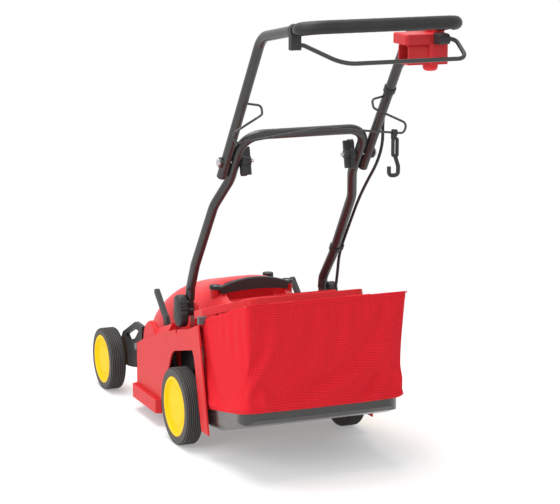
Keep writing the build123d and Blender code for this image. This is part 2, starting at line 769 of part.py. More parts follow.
REAR_HUB = (0.0, REAR_TYRE_R)
FRONT_HUB = (WHEELBASE, FRONT_TYRE_R)
LEVER_KNEE = (181.0, 254.0)
LEVER_TIP = (244.0, 306.0)
for side_name, side in SIDES.items():
    with BuildPart() as rear_arm:
        with BuildSketch(Plane.YZ.offset(side * ARM_X)):
            link(REAR_HUB, REAR_PIN, 30)
            link(REAR_PIN, LEVER_KNEE, 20)
            link(LEVER_KNEE, LEVER_TIP, 15)
            for (place_y, place_z), bore in ((REAR_HUB, AXLE_R), (REAR_PIN, PIN_R + RUNNING_GAP)):
                with Locations((ahead(place_y), place_z)):
                    Circle(bore, mode=Mode.SUBTRACT)
        extrude(amount=side * ARM_T)
    save(rear_arm.part, f"rear_arm_{side_name}")

    with BuildPart() as front_arm:
        with BuildSketch(Plane.YZ.offset(side * ARM_X)):
            with BuildLine():
                Polyline(
                    (ahead(346), 198),
                    (ahead(399), 199),
                    (ahead(493), 154),
                    (ahead(WHEELBASE + 12), FRONT_TYRE_R + 10),
                    (ahead(WHEELBASE + 8), FRONT_TYRE_R - 12),
                    (ahead(447), 75),
                    (ahead(400), 83),
                    (ahead(352), 128),
                    close=True,
                )
            make_face()
            with Locations((ahead(WHEELBASE), FRONT_TYRE_R)):
                Circle(17)
            for (place_y, place_z), bore in ((FRONT_HUB, AXLE_R), (FRONT_PIN, PIN_R + RUNNING_GAP)):
                with Locations((ahead(place_y), place_z)):
                    Circle(bore, mode=Mode.SUBTRACT)
            # Window under the arm's top strut
            with BuildLine():
                Polyline(
                    (ahead(373), 181),
                    (ahead(402), 183),
                    (ahead(468), 152),
                    (ahead(448), 141),
                    (ahead(400), 157),
                    close=True,
                )
            make_face(mode=Mode.SUBTRACT)
        extrude(amount=side * ARM_T)
    save(front_arm.part, f"front_arm_{side_name}")

with BuildPart() as arm_pins:
    for side in SIDES.values():
        for pin_y, pin_z, wall_x in (
            (ahead(REAR_PIN[0]), REAR_PIN[1], WELL_X),
            (ahead(FRONT_PIN[0]), FRONT_PIN[1], NOSE_HALF - DECK_WALL),
        ):
            for start, length, radius in (
                (wall_x - 4, 4, 9.0),
                (wall_x, ARM_X + ARM_T + FIT - wall_x, PIN_R),
                (ARM_X + ARM_T + FIT, 4, 9.0),
            ):
                with BuildSketch(Plane.YZ.offset(side * start)):
                    with Locations((pin_y, pin_z)):
                        Circle(radius)
                extrude(amount=side * length)
save(arm_pins.part, "arm_pins")

# Wheels: a ribbed black tyre on a dished yellow rim, turning on a stub axle
WHEEL_X = TRACK_HALF - TYRE_W
for end_name, axle_y, tyre_r, rim_r in (
    ("rear", REAR_AXLE_Y, REAR_TYRE_R, REAR_RIM_R),
    ("front", FRONT_AXLE_Y, FRONT_TYRE_R, FRONT_RIM_R),
):
    for side_name, side in SIDES.items():
        name = f"{end_name}_{side_name}"
        groove = TYRE_W / (2 * TREAD_GROOVES + 3)
        tread = [(0.0, tyre_r - 5), (1.2, tyre_r - 1.8)]
        for rib in range(TREAD_GROOVES):
            start = (2 * rib + 2) * groove
            tread += [
                (start, tyre_r),
                (start + 0.3 * groove, tyre_r - TREAD_DEPTH),
                (start + 0.8 * groove, tyre_r - TREAD_DEPTH),
                (start + 1.1 * groove, tyre_r),
            ]
        tread += [(TYRE_W - 1.2, tyre_r - 1.8), (TYRE_W, tyre_r - 5)]
        hub = Plane(origin=(side * WHEEL_X, axle_y, tyre_r), x_dir=(side, 0, 0), z_dir=(0, -side, 0))
        with BuildPart() as tyre:
            with BuildSketch(hub):
                with BuildLine():
                    Polyline((0, rim_r), *tread, (TYRE_W, rim_r), close=True)
                make_face()
            revolve(axis=Axis((side * WHEEL_X, axle_y, tyre_r), (1, 0, 0)))
        save(tyre.part, f"tyre_{name}")

        with BuildPart() as rim:
            with BuildSketch(hub):
                with BuildLine():
                    Polyline(
                        (2, AXLE_R + RUNNING_GAP),
                        (2, 16),
                        (TYRE_W - 14, 16),
                        (TYRE_W - 12, rim_r - 4),
                        (2, rim_r - 4),
                        (2, rim_r),
                        (TYRE_W - 1, rim_r),
                        (TYRE_W, rim_r - 2),
                        (TYRE_W, rim_r - 8),
                        (TYRE_W - 6.0, rim_r - 11),
                        (TYRE_W - 7.0, rim_r - 24),
                        (TYRE_W - 5.5, rim_r - 26),
                        (TYRE_W - 5.0, 0),
                        (TYRE_W - 10, 0),
                        (TYRE_W - 10, AXLE_R + RUNNING_GAP),
                        close=True,
                    )
                make_face()
            revolve(axis=Axis((side * WHEEL_X, axle_y, tyre_r), (1, 0, 0)))
        save(rim.part, f"rim_{name}")

        with BuildPart() as axle:
            for start, length, radius in (
                (ARM_X - 3, 3, 11.0),
                (ARM_X, TRACK_HALF - 10.5 - ARM_X, AXLE_R),
                (ARM_X + ARM_T, WHEEL_X + 2 - FIT - ARM_X - ARM_T, 11.0),
            ):
                with BuildSketch(Plane.YZ.offset(side * start)):
                    with Locations((axle_y, tyre_r)):
                        Circle(radius)
                extrude(amount=side * length)
        save(axle.part, f"axle_{name}")

# Bag: a red frame with a hand slot, fabric walls and a black bottom pan
MOUTH_TOP = (-92.0, 295.0)
MOUTH_LOW = (-124.0, 70.0)
BAG_MOUTH_T = 16.0
BAG_STEP = -109.0
BAG_TOP = [(-114.0, 318.0), (-360.0, 400.0)]
BAG_REAR_FOOT = (-350.0, 157.0)
BAG_FRONT_FOOT_Z = 112.0
BAG_TOP_T = 3.0
PAN_KEEL = [(-347.0, 138.0), (-334.0, 126.0), (-300.0, 112.0), (-250.0, 96.0), (-186.0, 77.0), MOUTH_LOW]
PAN_CORNER = 46.0
PAN_BILGE = 16.0


def bag_top(offset):
    """The height of the bag's top face at an offset from the rear axle."""
    (y0, z0), (y1, z1) = BAG_TOP
    return z0 + (z1 - z0) * (offset - y0) / (y1 - y0)


def mouth_y(z):
    """Where the bag's leaning mouth is along Y at a height."""
    slant = (MOUTH_TOP[0] - MOUTH_LOW[0]) / (MOUTH_TOP[1] - MOUTH_LOW[1])
    return ahead(MOUTH_LOW[0] + slant * (z - MOUTH_LOW[1]))


# Ring round the bag's mouth, leaning like the deck's posts
mouth_h = math.dist(MOUTH_TOP, MOUTH_LOW)
mouth_plane = Plane(
    origin=(0, ahead(MOUTH_TOP[0]), MOUTH_TOP[1]),
    x_dir=(1, 0, 0),
    z_dir=(0, MOUTH_LOW[1] - MOUTH_TOP[1], MOUTH_TOP[0] - MOUTH_LOW[0]),
)
with BuildPart() as ring_form:
    with BuildSketch(mouth_plane):
        with Locations((0, -mouth_h / 2)):
            RectangleRounded(2 * (BAG_HALF - BAG_WALL), mouth_h, 14)
            RectangleRounded(2 * (BAG_HALF - BAG_WALL) - 22, mouth_h - 22, 8, mode=Mode.SUBTRACT)
    extrude(amount=BAG_MOUTH_T)
mouth_ring = ring_form.part

with BuildPart() as grass_bag:
    with BuildSketch(Plane.YZ):
        with BuildLine():
            Polyline(
                (mouth_y(BAG_FRONT_FOOT_Z), BAG_FRONT_FOOT_Z),
                (ahead(MOUTH_TOP[0]), MOUTH_TOP[1]),
                (ahead(BAG_STEP), MOUTH_TOP[1]),
                (ahead(BAG_STEP), bag_top(BAG_STEP) - BAG_TOP_T),
                (ahead(BAG_TOP[1][0]), BAG_TOP[1][1] - BAG_TOP_T),
                (ahead(BAG_REAR_FOOT[0]), BAG_REAR_FOOT[1]),
                close=True,
            )
        make_face()
    extrude(amount=BAG_HALF, both=True)
    with BuildSketch(Plane.YZ):
        with BuildLine():
            Polyline(
                (ahead(MOUTH_LOW[0]) + 60, 20),
                (ahead(MOUTH_TOP[0]) + 60, BAG_TOP[1][1]),
                (ahead(BAG_TOP[1][0]) + BAG_WALL, BAG_TOP[1][1] + 60),
                (ahead(BAG_REAR_FOOT[0]) + BAG_WALL, 20),
                close=True,
            )
        make_face()
    extrude(amount=BAG_HALF - BAG_WALL, both=True, mode=Mode.SUBTRACT)
    # The frame's mouth ring lies inside the cloth's front edge
    add(mouth_ring, mode=Mode.SUBTRACT)
save(grass_bag.part, "grass_bag")

HAND_SLOT = (-296.0, 116.0, 34.0)
with BuildPart() as bag_frame:
    add(mouth_ring)
    # Riser behind the deck's roof, and the top plate over the fabric
    with BuildSketch(Plane.YZ):
        with BuildLine():
            Polyline(
                (ahead(BAG_STEP + BAG_TOP_T), MOUTH_TOP[1] - 6),
                (ahead(BAG_STEP + BAG_TOP_T), bag_top(BAG_STEP + BAG_TOP_T)),
                (ahead(BAG_TOP[1][0] - 2), bag_top(BAG_TOP[1][0] - 2)),
                (ahead(BAG_TOP[1][0] - 2), bag_top(BAG_TOP[1][0] - 2) - BAG_TOP_T),
                (ahead(BAG_STEP), bag_top(BAG_STEP) - BAG_TOP_T),
                (ahead(BAG_STEP), MOUTH_TOP[1] - 6),
                close=True,
            )
        make_face()
    extrude(amount=BAG_HALF, both=True)
    # Raised tabs beside the hand slot
    for side in SIDES.values():
        with BuildSketch(Plane.YZ.offset(side * 62)):
            with BuildLine():
                Polyline(
                    (ahead(-272), bag_top(-272) - 1),
                    (ahead(-276), bag_top(-276) + 5),
                    (ahead(-322), bag_top(-322) + 5),
                    (ahead(-330), bag_top(-330) - 1),
                    close=True,
                )
            make_face()
        extrude(amount=side * 58)
    with BuildSketch(Plane.XY.offset(250)):
        with Locations((0, ahead(HAND_SLOT[0]))):
            SlotOverall(HAND_SLOT[1], HAND_SLOT[2])
    extrude(amount=200, mode=Mode.SUBTRACT)
    add(grass_bag.part, mode=Mode.SUBTRACT)
save(bag_frame.part, "bag_frame")


def pan_form(inset):
    """The pan's outer form, or the hollow inside it when inset is the wall."""
    front = 40.0 if inset else 0.0
    with BuildPart() as form:
        with BuildSketch(Plane.YZ):
            with BuildLine():
                Polyline(
                    (mouth_y(BAG_FRONT_FOOT_Z) + front, BAG_FRONT_FOOT_Z + inset),
                    (ahead(BAG_REAR_FOOT[0]) + inset, BAG_REAR_FOOT[1] + 2 * inset),
                    *[(ahead(y) + inset, z + inset) for y, z in PAN_KEEL[:-1]],
                    (ahead(PAN_KEEL[-1][0]) + front, PAN_KEEL[-1][1] + inset),
                    close=True,
                )
            make_face()
        extrude(amount=BAG_HALF - inset, both=True)
        # Rounded bilge along both sides of the keel
        keel_edges = [
            edge
            for edge in form.edges()
            if abs(edge.tangent_at(0.5).Y) > 0.6
            and abs(edge.center().X) > BAG_HALF - inset - 1
            and edge.center().Z < BAG_FRONT_FOOT_Z + 24
            and edge.length < 150
        ]
        fillet(keel_edges, PAN_BILGE - inset)
        # Rounded rear corners seen from above
        with BuildSketch(Plane.XY):
            with Locations((0, ahead(BAG_REAR_FOOT[0]) + inset + 200)):
                RectangleRounded(2 * (BAG_HALF - inset), 400, PAN_CORNER - inset)
        extrude(amount=400, mode=Mode.INTERSECT)
    return form.part


with BuildPart() as bag_pan:
    add(pan_form(0.0))
    add(pan_form(BAG_WALL), mode=Mode.SUBTRACT)
    add(mouth_ring, mode=Mode.SUBTRACT)
save(bag_pan.part, "bag_pan")

# Grey hooks that hang the bag on the tops of the deck's posts
with BuildPart() as bag_hooks:
    for side in SIDES.values():
        with BuildSketch(Plane.XZ.offset(-ahead(-98))):
            with BuildLine():
                hook_z = RIDGE[0][1] + FIT
                rest_z = bag_top(-111) + FIT
                Polyline(
                    (side * (BAG_HALF - 6), rest_z),
                    (side * (BAG_HALF + FIT), rest_z),
                    (side * (BAG_HALF + FIT), hook_z),
                    (side * (DECK_HALF - 1), hook_z),
                    (side * (DECK_HALF - 1), rest_z + 4),
                    (side * (BAG_HALF - 6), rest_z + 4),
                    close=True,
                )
            make_face()
        extrude(amount=13)
save(bag_hooks.part, "bag_hooks")

# Lower handle frame: one bent tube with flattened feet on the deck's lugs
LEG_LOW = (172.0, 420.0)
LEG_KNEE = (168.0, 575.0)
JOGGLE_DROP = 44.0
CROSSBAR_R = 46.0
BOLT_R = 4.0
FOOT_TOP = PIVOT_Z + 26.0
joggle_z = FOLD_Z - JOGGLE_DROP
lower_path = [
    (PIVOT_X, LEG_FOOT_Y + 4, FOOT_TOP),
    (PIVOT_X, LEG_FOOT_Y, LEG_FOOT_Z),
    (LEG_LOW[0], leg_y(LEG_LOW[1]), LEG_LOW[1]),
    (LEG_KNEE[0], leg_y(LEG_KNEE[1]), LEG_KNEE[1]),
    (LOWER_LEG_X, leg_y(joggle_z), joggle_z),
    (LOWER_LEG_X, leg_y(CROSSBAR_Z), CROSSBAR_Z),
]
with BuildPart() as lower_handle:
    with BuildLine() as lower_line:
        FilletPolyline(
            *[(-x, y, z) for x, y, z in lower_path],
            *reversed(lower_path),
            radius=[24, 90, 110, 110, CROSSBAR_R, CROSSBAR_R, 110, 110, 90, 24],
        )
    with BuildSketch(at_line_start(lower_line.line)):
        Circle(TUBE_R)
        Circle(TUBE_R - TUBE_WALL, mode=Mode.SUBTRACT)
    sweep()
    for side in SIDES.values():
        # Flattened foot with the pivot's hole
        with BuildSketch(Plane.YZ.offset(side * (PIVOT_X - TUBE_R / 2))):
            with Locations((PIVOT_Y, PIVOT_Z)):
                Circle(13)
            with Locations((PIVOT_Y - 0.5, (PIVOT_Z + FOOT_TOP) / 2 + 3)):
                Rectangle(22, FOOT_TOP - PIVOT_Z + 6)
        extrude(amount=side * TUBE_R)
        with BuildSketch(Plane.YZ.offset(side * 100)):
            with Locations((PIVOT_Y, PIVOT_Z)):
                Circle(BOLT_R + RUNNING_GAP)
            with Locations((leg_y(FOLD_Z), FOLD_Z)):
                Circle(BOLT_R + RUNNING_GAP)
        extrude(amount=side * 120, mode=Mode.SUBTRACT)
save(lower_handle.part, "lower_handle")

# Upper handle frame: legs outside the lower ones, and a loop bent back to the grip
leg_dir = (0, -math.sin(LEAN), math.cos(LEAN))
upper_end_z = FOLD_Z - UPPER_END_DROP * math.cos(LEAN)
loop_back_y = -LOOP_REACH + REAR_AXLE_Y
upper_path = [
    (UPPER_LEG_X, leg_y(upper_end_z), upper_end_z),
    (UPPER_LEG_X, leg_y(LOOP_BEND_Z), LOOP_BEND_Z),
    (UPPER_LEG_X, loop_back_y, loop_z(loop_back_y)),
]
with BuildPart() as upper_handle:
    with BuildLine() as upper_line:
        FilletPolyline(
            *[(-x, y, z) for x, y, z in upper_path],
            *reversed(upper_path),
            radius=[70, LOOP_CORNER_R, LOOP_CORNER_R, 70],
        )
    with BuildSketch(at_line_start(upper_line.line)):
        Circle(TUBE_R)
        Circle(TUBE_R - TUBE_WALL, mode=Mode.SUBTRACT)
    sweep()
    for side in SIDES.values():
        with BuildSketch(Plane.YZ.offset(side * 150)):
            with Locations((leg_y(FOLD_Z), FOLD_Z)):
                Circle(BOLT_R + RUNNING_GAP)
        extrude(amount=side * 60, mode=Mode.SUBTRACT)
save(upper_handle.part, "upper_handle")

with BuildPart() as tube_plugs:
    for side in SIDES.values():
        end = Plane(
            origin=(side * UPPER_LEG_X, leg_y(upper_end_z), upper_end_z),
            z_dir=(0, -leg_dir[1], -leg_dir[2]),
        )
        with BuildSketch(end):
            Circle(TUBE_R)
        extrude(amount=3)
        with BuildSketch(end):
            Circle(TUBE_R - TUBE_WALL - FIT)
        extrude(amount=-14)
save(tube_plugs.part, "tube_plugs")

# Foam grip round the loop's crossbar and corners
GRIP_START = 600.0
grip_y = REAR_AXLE_Y - GRIP_START
with BuildPart() as foam_grip:
    with BuildLine():
        grip_route = FilletPolyline(
            (-UPPER_LEG_X, REAR_AXLE_Y - 560, loop_z(REAR_AXLE_Y - 560)),
            (-UPPER_LEG_X, loop_back_y, loop_z(loop_back_y)),
            (UPPER_LEG_X, loop_back_y, loop_z(loop_back_y)),
            (UPPER_LEG_X, REAR_AXLE_Y - 560, loop_z(REAR_AXLE_Y - 560)),
            radius=LOOP_CORNER_R,
        )
    with BuildSketch(at_line_start(grip_route)):
        Circle(GRIP_R)
        Circle(TUBE_R + GRIP_GAP, mode=Mode.SUBTRACT)
    sweep()
    with BuildSketch(Plane.XZ.offset(-grip_y)):
        Rectangle(1000, 3000)
    extrude(amount=-200, mode=Mode.SUBTRACT)
save(foam_grip.part, "foam_grip")

# Clamps at the fold: a bolt, a saddle outside and a wing knob inside each leg
for side_name, side in SIDES.items():
    with BuildPart() as wing_knob:
        inner = LOWER_LEG_X - TUBE_R - FIT
        with BuildSketch(Plane.YZ.offset(side * inner)):
            with Locations((leg_y(FOLD_Z), FOLD_Z)):
                Circle(14)
                SlotOverall(66, 15, rotation=78)
        extrude(amount=-side * 12)
        with BuildSketch(Plane.YZ.offset(side * (inner - 12))):
            with Locations((leg_y(FOLD_Z), FOLD_Z)):
                Circle(10)
                SlotOverall(62, 8, rotation=78)
        extrude(amount=-side * 11)
        with BuildSketch(Plane.YZ.offset(side * inner)):
            with Locations((leg_y(FOLD_Z), FOLD_Z)):
                Circle(BOLT_R + RUNNING_GAP)
        extrude(amount=-side * 60, mode=Mode.SUBTRACT)
    save(wing_knob.part, f"wing_knob_{side_name}")

with BuildPart() as clamp_bolts:
    for side in SIDES.values():
        outer = UPPER_LEG_X + TUBE_R + 4
        with BuildSketch(Plane.YZ.offset(side * outer)):
            with Locations((leg_y(FOLD_Z), FOLD_Z)):
                Circle(8)
        extrude(amount=side * 4)
        with BuildSketch(Plane.YZ.offset(side * outer)):
            with Locations((leg_y(FOLD_Z), FOLD_Z)):
                Circle(BOLT_R)
        extrude(amount=-side * (outer - LOWER_LEG_X + TUBE_R + 31))
save(clamp_bolts.part, "clamp_bolts")

with BuildPart() as clamp_saddles:
    for side in SIDES.values():
        with BuildSketch(Plane.YZ.offset(side * (UPPER_LEG_X + 3))):
            with Locations((leg_y(FOLD_Z), FOLD_Z)):
                SlotOverall(26, 17, rotation=90 + math.degrees(LEAN))
        extrude(amount=side * (TUBE_R + 1))
        bed = Plane(origin=(side * UPPER_LEG_X, leg_y(FOLD_Z), FOLD_Z), z_dir=leg_dir)
        with BuildSketch(bed):
            Circle(TUBE_R + FIT)
        extrude(amount=60, both=True, mode=Mode.SUBTRACT)
        with BuildSketch(Plane.YZ.offset(side * 150)):
            with Locations((leg_y(FOLD_Z), FOLD_Z)):
                Circle(BOLT_R + RUNNING_GAP)
        extrude(amount=side * 60, mode=Mode.SUBTRACT)
save(clamp_saddles.part, "clamp_saddles")

# Fluted teardrop knobs that hold the handle's feet, each on its own bolt
KNOB_LENGTH = 30.0
KNOB_TOP_R = 20.0
KNOB_LOW_R = 25.0
KNOB_UP = 18.0
KNOB_DOWN = 13.0
for side_name, side in SIDES.items():
    with BuildPart() as foot_knob:
        face_x = PIVOT_X + TUBE_R / 2 + FIT
        with BuildSketch(Plane.YZ.offset(side * face_x)):
            with Locations((PIVOT_Y, PIVOT_Z)):
                Circle(16)
        extrude(amount=side * 6)
        with BuildSketch(Plane.YZ.offset(side * (face_x + 6))):
            with Locations((PIVOT_Y, PIVOT_Z + KNOB_UP)):
                Circle(KNOB_TOP_R)
            with Locations((PIVOT_Y, PIVOT_Z - KNOB_DOWN)):
                Circle(KNOB_LOW_R)
            make_hull()
            # Finger flutes round the lower half
            with Locations((PIVOT_Y, PIVOT_Z - KNOB_DOWN)):
                with PolarLocations(KNOB_LOW_R + 1.5, 8, start_angle=188, angular_range=164):
                    Circle(3.6, mode=Mode.SUBTRACT)
        extrude(amount=side * (KNOB_LENGTH - 6))
        fillet(foot_knob.faces().sort_by(Axis.X)[-1 if side > 0 else 0].edges(), 2)
        with BuildSketch(Plane.YZ.offset(side * face_x)):
            with Locations((PIVOT_Y, PIVOT_Z)):
                Circle(BOLT_R + RUNNING_GAP)
        extrude(amount=side * (KNOB_LENGTH - 6), mode=Mode.SUBTRACT)
    save(foot_knob.part, f"foot_knob_{side_name}")

with BuildPart() as foot_bolts:
    for side in SIDES.values():
        lug_x = PIVOT_X - TUBE_R / 2 - FIT - 11
        with BuildSketch(Plane.YZ.offset(side * (lug_x - 4))):
            with Locations((PIVOT_Y, PIVOT_Z)):
                Circle(7)
        extrude(amount=side * 4)
        with BuildSketch(Plane.YZ.offset(side * lug_x)):
            with Locations((PIVOT_Y, PIVOT_Z)):
                Circle(BOLT_R)
        extrude(amount=side * 36)
save(foot_bolts.part, "foot_bolts")

# Switch box under the loop's right tube, with the hooded mains inlet facing left
BOX_REAR = -556.0
BOX_FRONT = -488.0
BOX_RIGHT = 184.0
BOX_LEFT = 86.0
BOX_MIDDLE = 140.0
INLET_X = 95.0
INLET_Y = -524.0
INLET_HALF = 24.0
INLET_WALL = 3.5
INLET_DEPTH = 40.0
BUTTON_X = 158.0
BUTTON_R = 16.0
collar_y = ahead(-520)
box_top = loop_z(collar_y) - TUBE_R
box_low = box_top - 64.0
inlet_z = box_top - 36.0
box_y = ahead((BOX_REAR + BOX_FRONT) / 2)


def inlet_face(inset):
    """The inlet hood's section: a flat foot and a round top."""
    half = INLET_HALF - inset
    with BuildSketch(mode=Mode.PRIVATE) as face:
        with Locations((ahead(INLET_Y), inlet_z + 2)):
            Circle(half)
        with Locations((ahead(INLET_Y), inlet_z - 13 + inset / 2)):
            Rectangle(2 * half, 30 - inset)
    return face.sketch


with BuildPart() as switch_box:
    with BuildSketch(Plane.XY.offset(box_low)):
        with Locations(((BOX_MIDDLE + BOX_RIGHT) / 2, box_y)):
            RectangleRounded(BOX_RIGHT - BOX_MIDDLE, BOX_FRONT - BOX_REAR, 8)
    extrude(amount=box_top - box_low)
    with BuildSketch(Plane.XY.offset(box_top - 22)):
        with Locations(((BOX_LEFT + BOX_RIGHT) / 2, box_y)):
            RectangleRounded(BOX_RIGHT - BOX_LEFT, BOX_FRONT - BOX_REAR, 8)
    extrude(amount=22)
    fillet(switch_box.edges().group_by(Axis.Z)[-1], 4)
    with BuildSketch(Plane.YZ.offset(INLET_X)):
        add(inlet_face(0.0))
    extrude(amount=BOX_MIDDLE + 8 - INLET_X)
    # Collar that carries the box on the tube
    with BuildSketch(tube_plane(UPPER_LEG_X, collar_y)):
        Circle(TUBE_R + 4)
    extrude(amount=20, both=True)
    with BuildSketch(Plane.XY.offset(box_top - 2)):
        with Locations((UPPER_LEG_X, collar_y)):
            Rectangle(22, 36)
    extrude(amount=loop_z(collar_y) - box_top)
    with BuildSketch(tube_plane(UPPER_LEG_X, collar_y)):
        Circle(TUBE_R + GRIP_GAP)
    extrude(amount=80, both=True, mode=Mode.SUBTRACT)
    # Inlet bore, button well and the switch's hollow
    with BuildSketch(Plane.YZ.offset(INLET_X - 1)):
        add(inlet_face(INLET_WALL))
    extrude(amount=INLET_DEPTH + 1, mode=Mode.SUBTRACT)
    with BuildSketch(Plane.XY.offset(box_low - 1)):
        with Locations((BUTTON_X, box_y)):
            Circle(BUTTON_R + FIT)
    extrude(amount=31, mode=Mode.SUBTRACT)
    # Entry for the motor lead in the front face
    with BuildSketch(Plane.XZ.offset(-ahead(BOX_FRONT) + 14)):
        with Locations((UPPER_LEG_X, inlet_z + 10)):
            Circle(CABLE_R + FIT)
    extrude(amount=-30, mode=Mode.SUBTRACT)
save(switch_box.part, "switch_box")

with BuildPart() as inlet_pins:
    with BuildSketch(Plane.YZ.offset(INLET_X + INLET_DEPTH - 8)):
        add(inlet_face(INLET_WALL))
    extrude(amount=8)
    with BuildSketch(Plane.YZ.offset(INLET_X + 15)):
        with Locations((ahead(INLET_Y), inlet_z)):
            with GridLocations(15, 1, 2, 1):
                Circle(2.4)
    extrude(amount=INLET_DEPTH - 23)
save(inlet_pins.part, "inlet_pins")

BUTTON_DROP = 16.0
with BuildPart() as lock_button:
    with BuildSketch(Plane.XY.offset(box_low - BUTTON_DROP)):
        with Locations((BUTTON_X, box_y)):
            Circle(BUTTON_R)
    extrude(amount=BUTTON_DROP + 18)
    fillet(lock_button.faces().sort_by(Axis.Z)[0].edges(), 9)
save(lock_button.part, "lock_button")

# Bail: the sprung bar that is held up against the grip to run the motor
BAIL_Y = -576.0
BAIL_DROP = 30.0
BAIL_BAR_Y = -630.0
BAIL_BAR_DROP = 35.0
BAIL_RIGHT = 187.0
BOSS_X = 148.0
BOSS_W = 23.0
CLIP_X = -UPPER_LEG_X
bail_tube_z = loop_z(ahead(BAIL_Y))
bail_z = bail_tube_z - BAIL_DROP
bar_z = bail_z - BAIL_BAR_DROP
with BuildPart() as bail_bar:
    with BuildLine() as bail_line:
        FilletPolyline(
            (CLIP_X - 8, ahead(BAIL_Y), bail_z),
            (CLIP_X + 18, ahead(BAIL_Y), bail_z),
            (CLIP_X + 82, ahead(BAIL_BAR_Y), bar_z),
            (BAIL_RIGHT, ahead(BAIL_BAR_Y), bar_z),
            (BAIL_RIGHT, ahead(BAIL_Y), bail_z),
            (BOSS_X + 4, ahead(BAIL_Y), bail_z),
            radius=[9, 70, 20, 14],
        )
    with BuildSketch(at_line_start(bail_line.line)):
        Circle(BAIL_R)
    sweep()
save(bail_bar.part, "bail_bar")

with BuildPart() as bail_boss:
    with BuildSketch(Plane.YZ.offset(BOSS_X)):
        with Locations((ahead(BAIL_Y), bail_z)):
            Circle(11)
        with Locations((ahead((BAIL_Y + BOX_REAR) / 2), bail_z)):
            Rectangle(BOX_REAR - BAIL_Y, 22)
    extrude(amount=BOSS_W)
    with BuildSketch(Plane.YZ.offset(BOSS_X + 3)):
        with Locations((ahead(BAIL_Y), bail_z)):
            Circle(BAIL_R + RUNNING_GAP)
    extrude(amount=BOSS_W, mode=Mode.SUBTRACT)
save(bail_boss.part, "bail_boss")

with BuildPart() as bail_clip:
    with BuildSketch(Plane.XZ.offset(-ahead(BAIL_Y))):
        with Locations((CLIP_X, bail_tube_z)):
            Circle(TUBE_R + 2)
        with Locations((CLIP_X, (bail_z - 9 + bail_tube_z) / 2)):
            Rectangle(22, bail_tube_z - bail_z + 9)
    extrude(amount=7, both=True)
    with BuildSketch(tube_plane(CLIP_X, ahead(BAIL_Y))):
        Circle(TUBE_R + GRIP_GAP)
    extrude(amount=40, both=True, mode=Mode.SUBTRACT)
    with BuildSketch(Plane.YZ.offset(CLIP_X - 9)):
        with Locations((ahead(BAIL_Y), bail_z)):
            Circle(BAIL_R + RUNNING_GAP)
    extrude(amount=40, mode=Mode.SUBTRACT)
save(bail_clip.part, "bail_clip")

# Cable slide: a bent wire across the upper frame with a strain-relief hook on it
RAIL_BACK = 28.0
RAIL_END = (198.0, 80.0)
RAIL_PEAK = 57.0
rail_root_z = FOLD_Z + 0.48 * (LOOP_BEND_Z - FOLD_Z)
rail_y = leg_y(rail_root_z) - RAIL_BACK
rail_path = [
    (UPPER_LEG_X - TUBE_R + 2, leg_y(rail_root_z), rail_root_z),
    (130, leg_y(rail_root_z) - 6, rail_root_z - 5),
    (130, rail_y + 14, rail_root_z - 23),
    (RAIL_END[0] + 5, rail_y, rail_root_z - RAIL_END[1] + 22),
    (RAIL_END[0], rail_y, rail_root_z - RAIL_END[1]),
]
with BuildPart() as cable_rail:
    with BuildLine() as rail_line:
        FilletPolyline(
            *[(-x, y, z) for x, y, z in rail_path],
            (0, rail_y, rail_root_z - RAIL_PEAK),
            *reversed(rail_path),
            radius=[9, 9, 11, 11, 60, 11, 11, 9, 9],
        )
    with BuildSketch(at_line_start(rail_line.line)):
        Circle(RAIL_R)
    sweep()
    for side in SIDES.values():
        bed = Plane(origin=(side * UPPER_LEG_X, leg_y(rail_root_z), rail_root_z), z_dir=leg_dir)
        with BuildSketch(bed):
            Circle(TUBE_R)
        extrude(amount=40, both=True, mode=Mode.SUBTRACT)
save(cable_rail.part, "cable_rail")

# The hook runs on the straight right half of the wire
HOOK_X = 174.0
HOOK_DROP = 98.0
rail_slope = (RAIL_END[1] - RAIL_PEAK) / RAIL_END[0]
hook_z = rail_root_z - RAIL_PEAK - rail_slope * HOOK_X
hook_eye = Plane(origin=(HOOK_X, rail_y, hook_z), x_dir=(0, -1, 0), z_dir=(-1, 0, rail_slope))
with BuildPart() as cable_hook:
    with BuildSketch(hook_eye):
        Circle(7.5)
        with Locations((0, -7)):
            Rectangle(9, 14)
        Circle(RAIL_R + RUNNING_GAP, mode=Mode.SUBTRACT)
    extrude(amount=5, both=True)
    # Two strands and a neck below the eye
    with BuildSketch(Plane.XZ.offset(-rail_y)):
        with Locations((HOOK_X + 2, hook_z - 32)):
            SlotOverall(46, 15, rotation=90)
            SlotOverall(34, 5, rotation=90, mode=Mode.SUBTRACT)
    extrude(amount=4, both=True)
    with BuildLine() as hook_line:
        FilletPolyline(
            (HOOK_X + 2, rail_y, hook_z - 50),
            (HOOK_X + 10, rail_y, hook_z - 74),
            (HOOK_X + 10, rail_y, hook_z - HOOK_DROP + 4),
            (HOOK_X - 12, rail_y, hook_z - HOOK_DROP + 4),
            (HOOK_X - 12, rail_y, hook_z - 74),
            radius=[8, 8, 8],
        )
    with BuildSketch(at_line_start(hook_line.line)):
        Circle(4.5)
    sweep()
save(cable_hook.part, "cable_hook")

